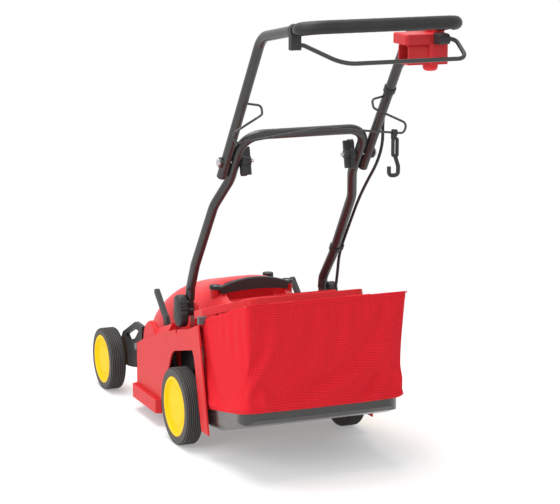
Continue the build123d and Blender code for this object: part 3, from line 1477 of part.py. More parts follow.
# Motor lead: from the box down the right legs, in a slack bow past the fold, to the deck
lead_top_z = inlet_z + 10
lead_x = UPPER_LEG_X + 15
lead_ahead = 20.0
lead_clip_high = LOOP_BEND_Z - 135.0
lead_above = (lead_x + 2, leg_y(775) + 24, 775)
lead_below = (lead_x + 2, leg_y(690) - 40, 690)
lead_split = tuple((a + b) / 2 for a, b in zip(lead_above, lead_below))
lead_clip_z = 436.0
lead_clip_x = LEG_LOW[0] + TUBE_R + CABLE_R + 1
upper_lead_path = [
    (UPPER_LEG_X, ahead(BOX_FRONT) - 6, lead_top_z),
    (UPPER_LEG_X, ahead(BOX_FRONT) + 18, lead_top_z),
    (lead_x + 3, leg_y(LOOP_BEND_Z) - 18, LOOP_BEND_Z - 30),
    (lead_x, leg_y(LOOP_BEND_Z - 85) + lead_ahead, LOOP_BEND_Z - 85),
    (lead_x, leg_y(LOOP_BEND_Z - 160) + lead_ahead, LOOP_BEND_Z - 160),
    lead_above,
    lead_split,
]
with BuildPart() as motor_lead_upper:
    with BuildLine() as upper_lead:
        FilletPolyline(*upper_lead_path, radius=[12, 24, 40, 30, 30])
    with BuildSketch(at_line_start(upper_lead.line)):
        Circle(CABLE_R)
    sweep()
save(motor_lead_upper.part, "motor_lead_upper")

gland_y = ahead(8)
gland_x = PIVOT_X - 9
lower_lead_path = [
    lead_split,
    lead_below,
    (lead_clip_x, leg_y(LEG_KNEE[1]) - 6, LEG_KNEE[1] + 6),
    (lead_clip_x, leg_y(lead_clip_z + 60), lead_clip_z + 60),
    (lead_clip_x, leg_y(lead_clip_z - 16), lead_clip_z - 16),
    (PIVOT_X + 19, ahead(-2), 378),
    (PIVOT_X + 14, ahead(1), 324),
    (gland_x, gland_y, 306),
    (gland_x, gland_y, ridge_z(8) - 16),
]
with BuildPart() as motor_lead_lower:
    with BuildLine() as lower_lead:
        FilletPolyline(*lower_lead_path, radius=[60, 60, 60, 20, 24, 14, 8])
    with BuildSketch(at_line_start(lower_lead.line)):
        Circle(CABLE_R)
    sweep()
save(motor_lead_lower.part, "motor_lead_lower")

with BuildPart() as lead_gland:
    with BuildSketch(Plane.XY.offset(ridge_z(8) - 12)):
        with Locations((gland_x, gland_y)):
            Circle(7)
    extrude(amount=24)
    with BuildSketch(Plane.XY.offset(ridge_z(8) + 4)):
        with Locations((gland_x, gland_y)):
            Circle(9)
    extrude(amount=4)
    with BuildSketch(Plane.XY.offset(ridge_z(8) - 20)):
        with Locations((gland_x, gland_y)):
            Circle(CABLE_R + FIT)
    extrude(amount=60, mode=Mode.SUBTRACT)
save(lead_gland.part, "lead_gland")

# Clips that hold the lead against the legs
low_rise = LEG_KNEE[1] - LEG_LOW[1]
low_dir = (LEG_KNEE[0] - LEG_LOW[0], leg_y(LEG_KNEE[1]) - leg_y(LEG_LOW[1]), low_rise)
low_x = LEG_KNEE[0] - low_dir[0] * (LEG_KNEE[1] - lead_clip_z) / low_rise
for clip_name, leg_x, leg_run, held_x, lead_back, clip_z in (
    ("lead_clip_lower", low_x, low_dir, lead_clip_x, 0.0, lead_clip_z),
    ("lead_clip_upper", UPPER_LEG_X, leg_dir, lead_x, -lead_ahead, lead_clip_high),
):
    with BuildPart() as lead_clip:
        seat = Plane(origin=(leg_x, leg_y(clip_z), clip_z), x_dir=(1, 0, 0), z_dir=leg_run)
        away = (held_x - leg_x, -lead_back * math.cos(LEAN))
        reach = math.hypot(*away)
        with BuildSketch(seat):
            Circle(TUBE_R + 2.5)
            with Locations(away):
                Circle(CABLE_R + 2.5)
            with Locations((away[0] / 2, away[1] / 2)):
                Rectangle(reach, 7, rotation=math.degrees(math.atan2(away[1], away[0])))
            Circle(TUBE_R + GRIP_GAP, mode=Mode.SUBTRACT)
            with Locations(away):
                Circle(CABLE_R + GRIP_GAP, mode=Mode.SUBTRACT)
        extrude(amount=6, both=True)
    save(lead_clip.part, clip_name)
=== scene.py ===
# %% [markdown]
# A corded lawn mower with a rear grass bag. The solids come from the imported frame, in metres,
# with +Y the way it mows. This script adds what solids show badly: cloth, foam, cable and finishes.

# %% Load the frame
import math

import bmesh
import bpy
import numpy as np
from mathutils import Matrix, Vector


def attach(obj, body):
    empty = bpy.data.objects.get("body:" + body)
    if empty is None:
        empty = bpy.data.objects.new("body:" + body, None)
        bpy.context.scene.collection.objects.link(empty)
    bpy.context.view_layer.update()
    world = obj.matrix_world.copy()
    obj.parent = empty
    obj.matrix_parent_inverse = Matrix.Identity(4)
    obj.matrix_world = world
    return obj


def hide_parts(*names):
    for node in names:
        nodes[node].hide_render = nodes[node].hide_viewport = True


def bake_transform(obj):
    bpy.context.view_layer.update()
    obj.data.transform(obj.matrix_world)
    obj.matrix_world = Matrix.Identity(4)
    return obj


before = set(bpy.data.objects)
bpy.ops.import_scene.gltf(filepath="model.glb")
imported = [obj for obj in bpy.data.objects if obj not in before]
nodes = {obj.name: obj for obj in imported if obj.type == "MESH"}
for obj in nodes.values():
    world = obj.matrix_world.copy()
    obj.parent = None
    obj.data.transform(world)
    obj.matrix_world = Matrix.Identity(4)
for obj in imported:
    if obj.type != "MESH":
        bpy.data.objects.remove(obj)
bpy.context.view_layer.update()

# %% [markdown]
# The rear axle is the handiest place to measure from, because the wheels, bag and handle all sit
# around it. One helper turns millimetres ahead of that axle into a point in the frame.

# %% Places on the machine
REAR_AXLE_Y = 21.5
LEAN = math.radians(35.5)
LEG_AHEAD, LEG_UP = 40.0, 355.0


def spot(x, ahead, z):
    """A point given in millimetres: right, ahead of the rear axle, and up."""
    return Vector((x, REAR_AXLE_Y + ahead, z)) / 1000


def leg_ahead(z):
    """Where the handle's legs are, ahead of the rear axle, at a height."""
    return LEG_AHEAD - math.tan(LEAN) * (z - LEG_UP)


print("legs cross 0.9 m up at", round(leg_ahead(900)), "mm ahead of the rear axle")

# %% [markdown]
# The camera stands behind the left rear wheel, a little above the handle's middle. Its place and
# lens were fitted to left and right pairs of features, so the picture's perspective is the photo's.

# %% Camera
CAMERA_YAW = math.radians(22.80)
CAMERA_PITCH = math.radians(11.47)
LENS = 137.4
CAMERA_PLACE = spot(-1839.8, -4471.7, 1416.1)
look = Vector((
    math.sin(CAMERA_YAW) * math.cos(CAMERA_PITCH),
    math.cos(CAMERA_YAW) * math.cos(CAMERA_PITCH),
    -math.sin(CAMERA_PITCH),
))
camera_data = bpy.data.cameras.new("camera")
camera_data.lens = LENS
camera_data.sensor_width = 36
camera_data.clip_end = 200
camera = bpy.data.objects.new("camera", camera_data)
camera.location = CAMERA_PLACE
camera.rotation_euler = look.to_track_quat("-Z", "Y").to_euler()
bpy.context.collection.objects.link(camera)
bpy.context.scene.camera = camera
bpy.context.scene.view_settings.view_transform = "Standard"
print("camera at", tuple(round(v, 3) for v in camera.location))

# %% [markdown]
# Shader maths reads best as sums. A small class wraps a node socket, so that adding or
# multiplying two of them places the Math node. Every other node comes from one method.


# %% Shader helper
class Value:
    """A shader socket that can be used in sums."""

    def __init__(self, finish, socket):
        self.finish = finish
        self.socket = socket

    def sum(self, operation, first, second):
        return self.finish.node("ShaderNodeMath", {"operation": operation}, {0: first, 1: second})

    def __add__(self, other):
        return self.sum("ADD", self, other)

    def __radd__(self, other):
        return self.sum("ADD", other, self)

    def __sub__(self, other):
        return self.sum("SUBTRACT", self, other)

    def __rsub__(self, other):
        return self.sum("SUBTRACT", other, self)

    def __mul__(self, other):
        return self.sum("MULTIPLY", self, other)

    def __rmul__(self, other):
        return self.sum("MULTIPLY", other, self)

    def __abs__(self):
        return self.sum("ABSOLUTE", self, 0)

    def root(self):
        return self.sum("SQRT", self, 0)


class Finish:
    """A material whose nodes are placed one call at a time."""

    def __init__(self, name):
        self.material = bpy.data.materials.new(name)
        self.material.use_nodes = True
        self.tree = self.material.node_tree
        self.shader = self.tree.nodes["Principled BSDF"]

    def put(self, socket, value):
        if isinstance(value, Value):
            self.tree.links.new(value.socket, socket)
        elif socket.type == "RGBA" and len(value) == 3:
            socket.default_value = (*value, 1)
        else:
            socket.default_value = value

    def node(self, kind, settings=None, inputs=None, out=0):
        made = self.tree.nodes.new(kind)
        for key, value in (settings or {}).items():
            if key == "stops":
                ramp = made.color_ramp
                while len(ramp.elements) < len(value):
                    ramp.elements.new(0.5)
                for element, (place, shade) in zip(ramp.elements, value):
                    element.position = place
                    element.color = (*shade, 1) if len(shade) == 3 else shade
            else:
                setattr(made, key, value)
        for key, value in (inputs or {}).items():
            self.put(made.inputs[key], value)
        return Value(self, made.outputs[out])

    def coords(self, output="Object"):
        return self.node("ShaderNodeTexCoord", out=output)

    def axis(self, letter, where=None):
        return self.node("ShaderNodeSeparateXYZ", {}, {0: where or self.coords()}, out=letter)

    def band(self, value, low, high, soft):
        """1 between low and high, fading to 0 over soft outside them."""
        return self.ramp(value, low - soft, low) * (1 - self.ramp(value, high, high + soft))

    def noise(self, scale, detail=3.0, roughness=0.55, where=None):
        where = where or self.coords()
        return self.node("ShaderNodeTexNoise", {}, {"Vector": where, "Scale": scale, "Detail": detail,
                                                    "Roughness": roughness})

    def ramp(self, value, low, high):
        """0 below low, 1 above high, smooth between."""
        return self.node("ShaderNodeMapRange", {"interpolation_type": "SMOOTHSTEP"},
                         {"Value": value, "From Min": low, "From Max": high})

    def mix(self, factor, first, second):
        made = self.tree.nodes.new("ShaderNodeMix")
        made.data_type = "RGBA"
        self.put(made.inputs[0], factor)
        self.put(made.inputs[6], first)
        self.put(made.inputs[7], second)
        return Value(self, made.outputs[2])

    def bump(self, height, strength, distance):
        values = {"Strength": strength, "Distance": distance, "Height": height}
        normal = self.node("ShaderNodeBump", {}, values)
        self.put(self.shader.inputs["Normal"], normal)

    def set(self, **sockets):
        for key, value in sockets.items():
            self.put(self.shader.inputs[key.replace("_", " ")], value)
        return self.material


# %% [markdown]
# Most of the mower is moulded plastic. Real mouldings are never one colour: they carry a slow
# mottle, a fine spark-eroded grain and a little dust low down, where grass and soil reach them.

# %% Moulded plastics
DUST = (0.30, 0.22, 0.16)
# Near-black painted shade, for the insides of the wheel arches and the floors of the tyres' grooves
PAINTED_SHADE = (0.010, 0.010, 0.011)
# Painted shade in the wheel arches: inside of the skirt, below the arch's roof, ahead of the rear axle
ARCH_SHADE_HALF = 0.2005
ARCH_SHADE_TOP = 0.2362
ARCH_SHADE_REAR, ARCH_SHADE_FRONT = spot(0, -84, 0).y, spot(0, 104, 0).y


def moulded(name, colour, roughness, mottle=0.10, grain=0.00012, coat=0.0, dust=0.25, gloss=0.30,
            shaded_arches=False):
    """Moulded plastic: mottled colour, fine grain, dust near the ground, perhaps painted shade in the wheel
    arches.
    """
    finish = Finish(name)
    slow = finish.noise(9.0, 4)
    fine = finish.noise(1400.0, 2)
    scuff = finish.ramp(finish.noise(38.0, 6, 0.7), 0.56, 0.72)
    dark = tuple(c * (1 - mottle) for c in colour)
    light = tuple(min(1.0, c * (1 + mottle)) for c in colour)
    base = finish.mix(slow, dark, light)
    high = finish.axis("Z")
    low = (1 - finish.ramp(high, 0.02, 0.16)) * finish.ramp(finish.noise(24.0, 5), 0.42, 0.70) * dust
    base = finish.mix(low, base, DUST)
    if shaded_arches:
        # Painted shade: the insides of the wheel arches are coloured near-black
        inside = 1 - finish.ramp(abs(finish.axis("X")), ARCH_SHADE_HALF - 0.0004, ARCH_SHADE_HALF)
        arch = finish.band(finish.axis("Y"), ARCH_SHADE_REAR, ARCH_SHADE_FRONT, 0.001)
        below = 1 - finish.ramp(high, ARCH_SHADE_TOP, ARCH_SHADE_TOP + 0.0006)
        base = finish.mix(inside * arch * below, base, PAINTED_SHADE)
    finish.bump(fine, 0.35, grain)
    return finish.set(Base_Color=base, Roughness=roughness + 0.10 * scuff + 0.25 * low, Coat_Weight=coat,
                      Coat_Roughness=0.12, Specular_IOR_Level=gloss)


# The deck's moulding carries painted shade inside its wheel arches
red_deck = moulded("red_deck_moulding", (0.60, 0.022, 0.026), 0.42, 0.06, dust=0.08, gloss=0.16, shaded_arches=True)
red_body = moulded("red_moulding", (0.60, 0.020, 0.026), 0.36, 0.06, dust=0.08, gloss=0.20)
red_box = moulded("red_switch_moulding", (0.52, 0.024, 0.028), 0.38, 0.06, dust=0.0, gloss=0.22)
red_button = moulded("red_button", (0.66, 0.026, 0.032), 0.30, 0.05, dust=0.0, gloss=0.22)
black_moulding = moulded("black_moulding", (0.026, 0.026, 0.028), 0.46, 0.2, 0.00025)
black_pan = moulded("black_pan_moulding", (0.020, 0.019, 0.019), 0.26, 0.2, 0.0001, coat=0.35, dust=0.05,
                    gloss=0.5)
grey_moulding = moulded("grey_moulding", (0.10, 0.10, 0.11), 0.5, 0.15, 0.0002)
yellow_rim = moulded("yellow_rim", (0.92, 0.55, 0.004), 0.46, 0.04, 0.0001, dust=0.03, gloss=0.10)
print("mouldings made")

# %% [markdown]
# The tubes are steel under gloss black paint, so they need a hard sharp highlight with a faint
# orange-peel ripple. Bare steel, brass and the motor's paint are only seen from close by.

# %% Metals


def metal(name, colour, roughness, metallic, ripple, coat=0.0):
    """Painted or bare metal with a slow ripple in its surface."""
    finish = Finish(name)
    wave = finish.noise(160.0, 2)
    wear = finish.ramp(finish.noise(30.0, 6, 0.7), 0.60, 0.78)
    shade = finish.mix(wear, colour, tuple(min(1.0, c * 1.35 + 0.004) for c in colour))
    finish.bump(wave, 0.4, ripple)
    return finish.set(Base_Color=shade, Roughness=roughness + 0.12 * wear, Metallic=metallic,
                      Coat_Weight=coat, Coat_Roughness=0.08)


tube_paint = metal("black_tube_paint", (0.022, 0.021, 0.021), 0.34, 0.0, 0.00006, 0.12)
bare_steel = metal("bright_steel", (0.55, 0.55, 0.57), 0.30, 1.0, 0.00008)
blade_steel = metal("blade_steel", (0.35, 0.35, 0.37), 0.38, 1.0, 0.0002)
brass = metal("brass_pin", (0.72, 0.50, 0.20), 0.26, 1.0, 0.00004)
motor_paint = metal("motor_paint", (0.20, 0.20, 0.21), 0.45, 0.0, 0.0002)
print("metals made")

# %% [markdown]
# Tyres are hard grey-black rubber. Their ribs are in the solid; the finish paints shade on the floor of
# each groove, found by its distance from the axle, and adds the chalky bloom that rubber gets. Foam and
# sheath are rubbery too, with pores instead of grooves.

# %% Rubber, foam and sheath
BLOOM = (0.14, 0.135, 0.13)


def rubbery(name, colour, roughness, pore_scale, pore_depth, bloom, axle=None, radius=0.0):
    """Rubber or foam: a pored surface under a pale bloom, with painted shade in the grooves of a tyre."""
    finish = Finish(name)
    pores = finish.noise(pore_scale, 3, 0.6)
    patch = finish.ramp(finish.noise(22.0, 5), 0.40, 0.72)
    shade = finish.mix(patch * bloom, colour, BLOOM)
    if axle:
        back = finish.axis("Y") - axle.y
        up = finish.axis("Z") - axle.z
        from_axle = (back * back + up * up).root()
        # Painted shade: the floor of each tread groove is coloured near-black
        groove = finish.band(from_axle, radius - 0.0030, radius - 0.0016, 0.0006)
        shade = finish.mix(groove, shade, PAINTED_SHADE)
    finish.bump(pores, 0.6, pore_depth)
    return finish.set(Base_Color=shade, Roughness=roughness + 0.08 * patch, Specular_IOR_Level=0.3)


TYRE_GREY = (0.062, 0.060, 0.058)
rear_rubber = rubbery("rear_tyre_rubber", TYRE_GREY, 0.60, 500.0, 0.0001, 0.25, spot(0, 0, 90), 0.090)
front_rubber = rubbery("front_tyre_rubber", TYRE_GREY, 0.60, 500.0, 0.0001, 0.25, spot(0, 532, 78), 0.078)
foam = rubbery("grip_foam", (0.018, 0.018, 0.018), 0.46, 700.0, 0.0001, 0.06)
sheath = rubbery("lead_sheath", (0.016, 0.016, 0.016), 0.42, 300.0, 0.0001, 0.10)
print("rubbers made")

# %% Finish for each solid
finishes = {
    "deck_shell": red_deck, "motor_hood": red_body, "rear_flap": red_body, "bag_frame": red_body,
    "switch_box": red_box, "lock_button": red_button,
    "bag_pan": black_pan, "bag_hooks": grey_moulding,
    "lower_handle": tube_paint, "upper_handle": tube_paint, "bail_bar": tube_paint, "cable_rail": tube_paint,
    "clamp_saddles": tube_paint,
    "foam_grip": foam, "motor_can": motor_paint, "inlet_pins": brass, "cutting_blade": blade_steel,
    "motor_lead_upper": sheath, "motor_lead_lower": sheath,
}
black_words = ("carry_handle", "knob", "saddle", "plug", "boss", "clip", "hook", "gland", "carrier", "_arm_")
for name, solid in nodes.items():
    if name in finishes:
        finish = finishes[name]
    elif name.startswith("tyre_"):
        finish = rear_rubber if "rear" in name else front_rubber
    elif name.startswith("rim_"):
        finish = yellow_rim
    elif any(word in name for word in black_words):
        finish = black_moulding
    else:
        finish = bare_steel
    solid.data.materials.clear()
    solid.data.materials.append(finish)
print("finishes given to", len(nodes), "solids")

# %% [markdown]
# The lead is one flexible line held by clips, so it is drawn as a smooth NURBS curve through the
# same route as the solids and then made a mesh, in an upper and a lower piece.

# %% Motor lead
LEAD_R = 0.0035


def soft_line(name, points, radius, finish, sides=6):
    """A smooth round line through control points, as a mesh."""
    curve = bpy.data.curves.new(name, "CURVE")
    curve.dimensions = "3D"
    spline = curve.splines.new("NURBS")
    spline.points.add(len(points) - 1)
    for control, place in zip(spline.points, points):
        control.co = (*place, 1)
    spline.order_u = 3
    spline.use_endpoint_u = True
    spline.resolution_u = 10
    curve.bevel_depth = radius
    curve.bevel_resolution = sides
    curve.use_fill_caps = True
    holder = bpy.data.objects.new(name + "_line", curve)
    bpy.context.collection.objects.link(holder)
    bpy.context.view_layer.update()
    mesh = bpy.data.meshes.new_from_object(holder.evaluated_get(bpy.context.evaluated_depsgraph_get()))
    bpy.data.objects.remove(holder)
    piece = bpy.data.objects.new(name, mesh)
    bpy.context.collection.objects.link(piece)
    mesh.name = name
    mesh.materials.clear()
    mesh.materials.append(finish)
    for face in mesh.polygons:
        face.use_smooth = True
    return piece


LEG_X = 170.0
lead_above = spot(187, -235.6, 775)
lead_split = spot(187, -237.3, 732.5)
lead_below = spot(187, -239, 690)
upper_route = [
    spot(LEG_X, -494, 957.7), spot(LEG_X, -470, 957.7), spot(188, -420.2, 945), spot(185, -321.6, 890),
    spot(185, -268.1, 815), lead_above, lead_split,
]
lower_route = [
    lead_split, lead_below, spot(187.5, -122.9, 581), spot(187.5, -60.6, 496), spot(187.5, -6.4, 420),
    spot(186, -2, 378), spot(181, 1, 324), spot(158, 8, 306), spot(158, 8, 254),
]
lead_upper = soft_line("lead_upper", upper_route, LEAD_R, sheath)
lead_lower = soft_line("lead_lower", lower_route, LEAD_R, sheath)
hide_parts("motor_lead_upper")
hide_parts("motor_lead_lower")
tuple(spot(186, leg_ahead(800), 800))
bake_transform(lead_upper)
tuple(spot(186, -4, 400))
tuple(spot(158, 8, 300))
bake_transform(lead_lower)
print("lead made")

# %% [markdown]
# The bag is a woven red cloth stretched round three sides, sewn to the plastic top above and to the
# black pan below. It could be flat plates, but cloth between two stiff edges draws in at its middle,
# spills over its lower seam and keeps the diagonal creases of its last fold. So a shell is lofted
# from the real seams with those creases in it, and is then left to settle in a cloth simulation.

# %% Bag cloth sheet
BAG_HALF = 190.6
FOOT_FRONT, FOOT_REAR = -117.0, -351.0
TOP_FRONT, TOP_REAR = -95.0, -363.2
FOOT_CORNER, WALL_CORNER = 44.0, 12.0
ROWS = 40
SIDE_STEPS, CORNER_STEPS, REAR_STEPS = 34, 8, 60
# The plastic top climbs to the rear from its front edge; ahead of that is the mouth's ring
TOP_START, TOP_START_UP, TOP_CLIMB, TOP_RUN = -114.0, 318.5, 82.0, 246.0
MOUTH_START, MOUTH_UP = -116.0, 300.0
# The pan's rim climbs to the rear too, and the seam lies a little below it
RIM_START, RIM_START_UP, RIM_CLIMB, RIM_RUN, SEAM_DROP = -118.0, 112.0, 45.0, 232.0, 1.0


def bag_top(ahead):
    """Where the cloth is folded over the edge of the bag's plastic top, ahead of the rear axle."""
    climb = TOP_START_UP + TOP_CLIMB * (TOP_START - ahead) / TOP_RUN
    return climb if ahead < MOUTH_START else MOUTH_UP


def bag_foot(ahead):
    """The rim of the black pan, ahead of the rear axle."""
    return RIM_START_UP + RIM_CLIMB * (RIM_START - ahead) / RIM_RUN - SEAM_DROP


def walk_round(front, rear, corner):
    """Places round the left, rear and right walls, in millimetres."""
    left = [(-BAG_HALF, front + (rear + corner - front) * i / SIDE_STEPS) for i in range(SIDE_STEPS + 1)]
    for i in range(1, CORNER_STEPS):
        turn = math.pi / 2 * i / CORNER_STEPS
        left.append((-BAG_HALF + corner * (1 - math.cos(turn)), rear + corner * (1 - math.sin(turn))))
    flat = BAG_HALF - corner
    middle = [(-flat + 2 * flat * i / REAR_STEPS, rear) for i in range(REAR_STEPS + 1)]
    return left + middle + [(-x, ahead) for x, ahead in reversed(left)]


low_walk = walk_round(FOOT_FRONT, FOOT_REAR, WALL_CORNER)
columns = len(low_walk)
run = [0.0]
for (x0, y0), (x1, y1) in zip(low_walk, low_walk[1:]):
    run.append(run[-1] + math.hypot(x1 - x0, y1 - y0) / 1000)
cloth_width = run[-1]
print("cloth:", columns, "columns,", round(cloth_width, 3), "m round")

# %% Creases in the cloth
# Each crease: from and to as shares of the walk and of the height, how deep and how wide in metres
CREASES = (
    (0.335, 0.62, 0.255, 0.22, -0.0060, 0.011), (0.36, 0.66, 0.28, 0.20, 0.0050, 0.012),
    (0.64, 0.46, 0.40, 0.10, -0.0050, 0.014), (0.66, 0.42, 0.44, 0.06, 0.0050, 0.013),
    (0.69, 0.86, 0.58, 0.44, -0.0040, 0.016), (0.665, 0.30, 0.60, 0.06, -0.0045, 0.010),
    (0.50, 0.80, 0.41, 0.40, -0.0030, 0.018), (0.30, 0.30, 0.34, 0.05, 0.0040, 0.012),
    (0.70, 0.30, 0.74, 0.08, 0.0045, 0.014), (0.84, 0.75, 0.78, 0.25, -0.0045, 0.014),
)
DRAWN_SIDE, DRAWN_REAR, SPILL = 0.0080, 0.0030, 0.0060
CREASE_SCALE = 1.7
CLOTH_HIGH = 0.23
# Creases fade out in this share of the height at each seam, and in this many columns at the front
SEAM_FADE, HELD_COLUMNS = 1 / 8, 9


def crease_depth(share, part):
    """How far the creases push the cloth out at a share of the walk and of the height."""
    depth = 0.0
    here = np.array((share * cloth_width, part * CLOTH_HIGH))
    for s0, p0, s1, p1, deep, wide in CREASES:
        first = np.array((s0 * cloth_width, p0 * CLOTH_HIGH))
        along = np.array((s1 * cloth_width, p1 * CLOTH_HIGH)) - first
        t = float(np.clip(np.dot(here - first, along) / np.dot(along, along), 0, 1))
        away = float(np.linalg.norm(here - first - t * along))
        depth += deep * math.exp(-(away / wide) ** 2) * (0.35 + 0.65 * math.sin(math.pi * t))
    return depth * CREASE_SCALE


bag_mesh = bmesh.new()
weave_map = bag_mesh.loops.layers.uv.new("weave")
grid = []
for row in range(ROWS + 1):
    part = row / ROWS
    drawn = math.sin(math.pi * part ** 0.6)
    spill = SPILL * math.exp(-((part - 0.05) / 0.05) ** 2) * (row > 0)
    # The pan's corners are rounder than the cloth's, so the foot is tucked in under the spill
    corner = WALL_CORNER + (FOOT_CORNER - WALL_CORNER) * math.exp(-(part / 0.03) ** 2)
    front = FOOT_FRONT * (1 - part) + TOP_FRONT * part
    walk = walk_round(front, FOOT_REAR * (1 - part) + TOP_REAR * part, corner)
    share = (front - TOP_REAR) / (TOP_FRONT - TOP_REAR)
    line = []
    for column, (x, ahead) in enumerate(walk):
        top_ahead = TOP_FRONT + (ahead - front) / share
        z = bag_foot(ahead) * (1 - part) + bag_top(top_ahead) * part
        before, after = walk[max(column - 1, 0)], walk[min(column + 1, columns - 1)]
        out = Vector((before[1] - after[1], after[0] - before[0], 0)).normalized() * -1
        inward = drawn * (DRAWN_SIDE * abs(out.x) + DRAWN_REAR * abs(out.y))
        # The front edge is held straight by the mouth's ring
        free = min(1.0, min(column, columns - 1 - column) / HELD_COLUMNS)
        fade = min(1.0, part / SEAM_FADE, (1 - part) / SEAM_FADE)
        fold = crease_depth(run[column] / cloth_width, part) * fade
        line.append(bag_mesh.verts.new(spot(x, ahead, z) + out * free * (spill + fold - inward)))
    grid.append(line)
for row in range(ROWS):
    for column in range(columns - 1):
        corners = ((row, column), (row, column + 1), (row + 1, column + 1), (row + 1, column))
        face = bag_mesh.faces.new([grid[r][c] for r, c in corners])
        for loop, (r, c) in zip(face.loops, corners):
            loop[weave_map].uv = (run[c], r / ROWS * CLOTH_HIGH)
        face.smooth = True
bmesh.ops.recalc_face_normals(bag_mesh, faces=bag_mesh.faces)
if max(bag_mesh.faces, key=lambda f: f.calc_center_median().x).normal.x < 0:
    bmesh.ops.reverse_faces(bag_mesh, faces=bag_mesh.faces)
cloth_area = sum(face.calc_area() for face in bag_mesh.faces)
cloth_mesh = bpy.data.meshes.new("bag_cloth")
bag_mesh.to_mesh(cloth_mesh)
bag_mesh.free()
bag_cloth = bpy.data.objects.new("bag_cloth", cloth_mesh)
bpy.context.collection.objects.link(bag_cloth)
print("cloth laid out:", len(cloth_mesh.vertices), "points,", round(cloth_area, 4), "square metres")

# %% Let the cloth settle
SETTLE_FRAMES = 24
MOST_MOVE = 0.006
pinned = bag_cloth.vertex_groups.new(name="seams")
for row in range(ROWS + 1):
    for column in range(columns):
        if row in (0, ROWS) or column in (0, columns - 1):
            pinned.add([row * columns + column], 1.0, "REPLACE")
settle = bag_cloth.modifiers.new("settle", "CLOTH")
cloth = settle.settings
cloth.quality = 6
cloth.mass = 0.18
cloth.tension_stiffness = 22
cloth.compression_stiffness = 22
cloth.shear_stiffness = 8
cloth.bending_stiffness = 2.0
cloth.shrink_min = -0.012
cloth.vertex_group_mass = "seams"
settle.collision_settings.use_collision = False
scene = bpy.context.scene
scene.frame_start = 1
scene.frame_end = SETTLE_FRAMES
settle.point_cache.frame_end = SETTLE_FRAMES
for tick in range(1, SETTLE_FRAMES + 1):
    scene.frame_set(tick)
settled = bag_cloth.evaluated_get(bpy.context.evaluated_depsgraph_get())
places = np.empty(len(bag_cloth.data.vertices) * 3)
settled.data.vertices.foreach_get("co", places)
start = np.empty_like(places)
bag_cloth.data.vertices.foreach_get("co", start)
move = (places - start).reshape(-1, 3)
size = np.linalg.norm(move, axis=1, keepdims=True)
move *= np.minimum(1.0, MOST_MOVE / np.maximum(size, 1e-9))
bag_cloth.modifiers.remove(settle)
bag_cloth.data.vertices.foreach_set("co", (start.reshape(-1, 3) + move).ravel())
bag_cloth.data.update()
scene.frame_set(1)
print("cloth settled, most move", round(float(size.max()) * 1000, 1), "mm")

# %% [markdown]
# The cloth's rear wall is an open mesh that shows as rows of small dark dots; the side walls are
# a closed weave. Both are drawn from the cloth's own map, so the dots follow its folds.

# %% Cloth finish
cloth_finish = Finish("bag_weave")
flat_map = cloth_finish.coords("UV")
side_run = cloth_finish.axis("X", flat_map)
side_up = cloth_finish.axis("Y", flat_map)
rear_from = run[SIDE_STEPS + CORNER_STEPS]
rear_wall = cloth_finish.band(side_run, rear_from, cloth_width - rear_from, 0.012)
PITCH = 0.0050
THREAD = 0.0013
CLOTH_THICK = 0.0012


def wave(value, pitch):
    """A rounded wave from 0 to 1 with that pitch, in metres."""
    turns = value * (math.tau / pitch)
    return cloth_finish.node("ShaderNodeMath", {"operation": "SINE"}, {0: turns}) * 0.5 + 0.5


dots = cloth_finish.ramp(wave(side_run, PITCH) * wave(side_up, PITCH), 0.34, 0.62) * rear_wall
threads = wave(side_run, THREAD) * 0.5 + wave(side_up, THREAD) * 0.5
tone = cloth_finish.noise(14.0, 4)
weave_red = cloth_finish.mix(tone, (0.60, 0.010, 0.019), (0.68, 0.013, 0.024))
weave_red = cloth_finish.mix(dots * 0.68, weave_red, (0.22, 0.004, 0.008))
weave_red = cloth_finish.mix(threads * 0.08, weave_red, (0.85, 0.05, 0.06))
height = threads * 0.35 - dots
cloth_finish.bump(height, 0.45, 0.0005)
bag_weave = cloth_finish.set(Base_Color=weave_red, Roughness=0.74 + 0.10 * tone, Specular_IOR_Level=0.15)
cloth_mesh.materials.append(bag_weave)
thick = bag_cloth.modifiers.new("thickness", "SOLIDIFY")
thick.thickness = CLOTH_THICK
thick.offset = -1
smooth = bag_cloth.modifiers.new("smooth", "SUBSURF")
smooth.levels = 1
smooth.render_levels = 1
print("weave made")

# %% [markdown]
# A machine-sewn hem runs along the cloth's top and foot. Stitches are a thing that repeats along a
# path, so a small Geometry Nodes tree lays one stitch at each step of two lines on the settled cloth.

# %% Stitch tree
stitch_tree = bpy.data.node_groups.new("seam_stitches", "GeometryNodeTree")
stitch_tree.interface.new_socket("Lines", in_out="INPUT", socket_type="NodeSocketGeometry")
sockets = {
    label: stitch_tree.interface.new_socket(label, in_out="INPUT", socket_type=kind).identifier
    for label, kind in (("Pitch", "NodeSocketFloat"), ("Length", "NodeSocketFloat"),
                        ("Width", "NodeSocketFloat"), ("Thread", "NodeSocketMaterial"))
}
stitch_tree.interface.new_socket("Stitches", in_out="OUTPUT", socket_type="NodeSocketGeometry")


def place_node(kind, settings=None, links=None):
    """One node of the stitch tree, with its settings and its inputs from values or other sockets."""
    made = stitch_tree.nodes.new(kind)
    for key, value in (settings or {}).items():
        setattr(made, key, value)
    for key, value in (links or {}).items():
        if isinstance(value, bpy.types.NodeSocket):
            stitch_tree.links.new(value, made.inputs[key])
        else:
            made.inputs[key].default_value = value
    return made


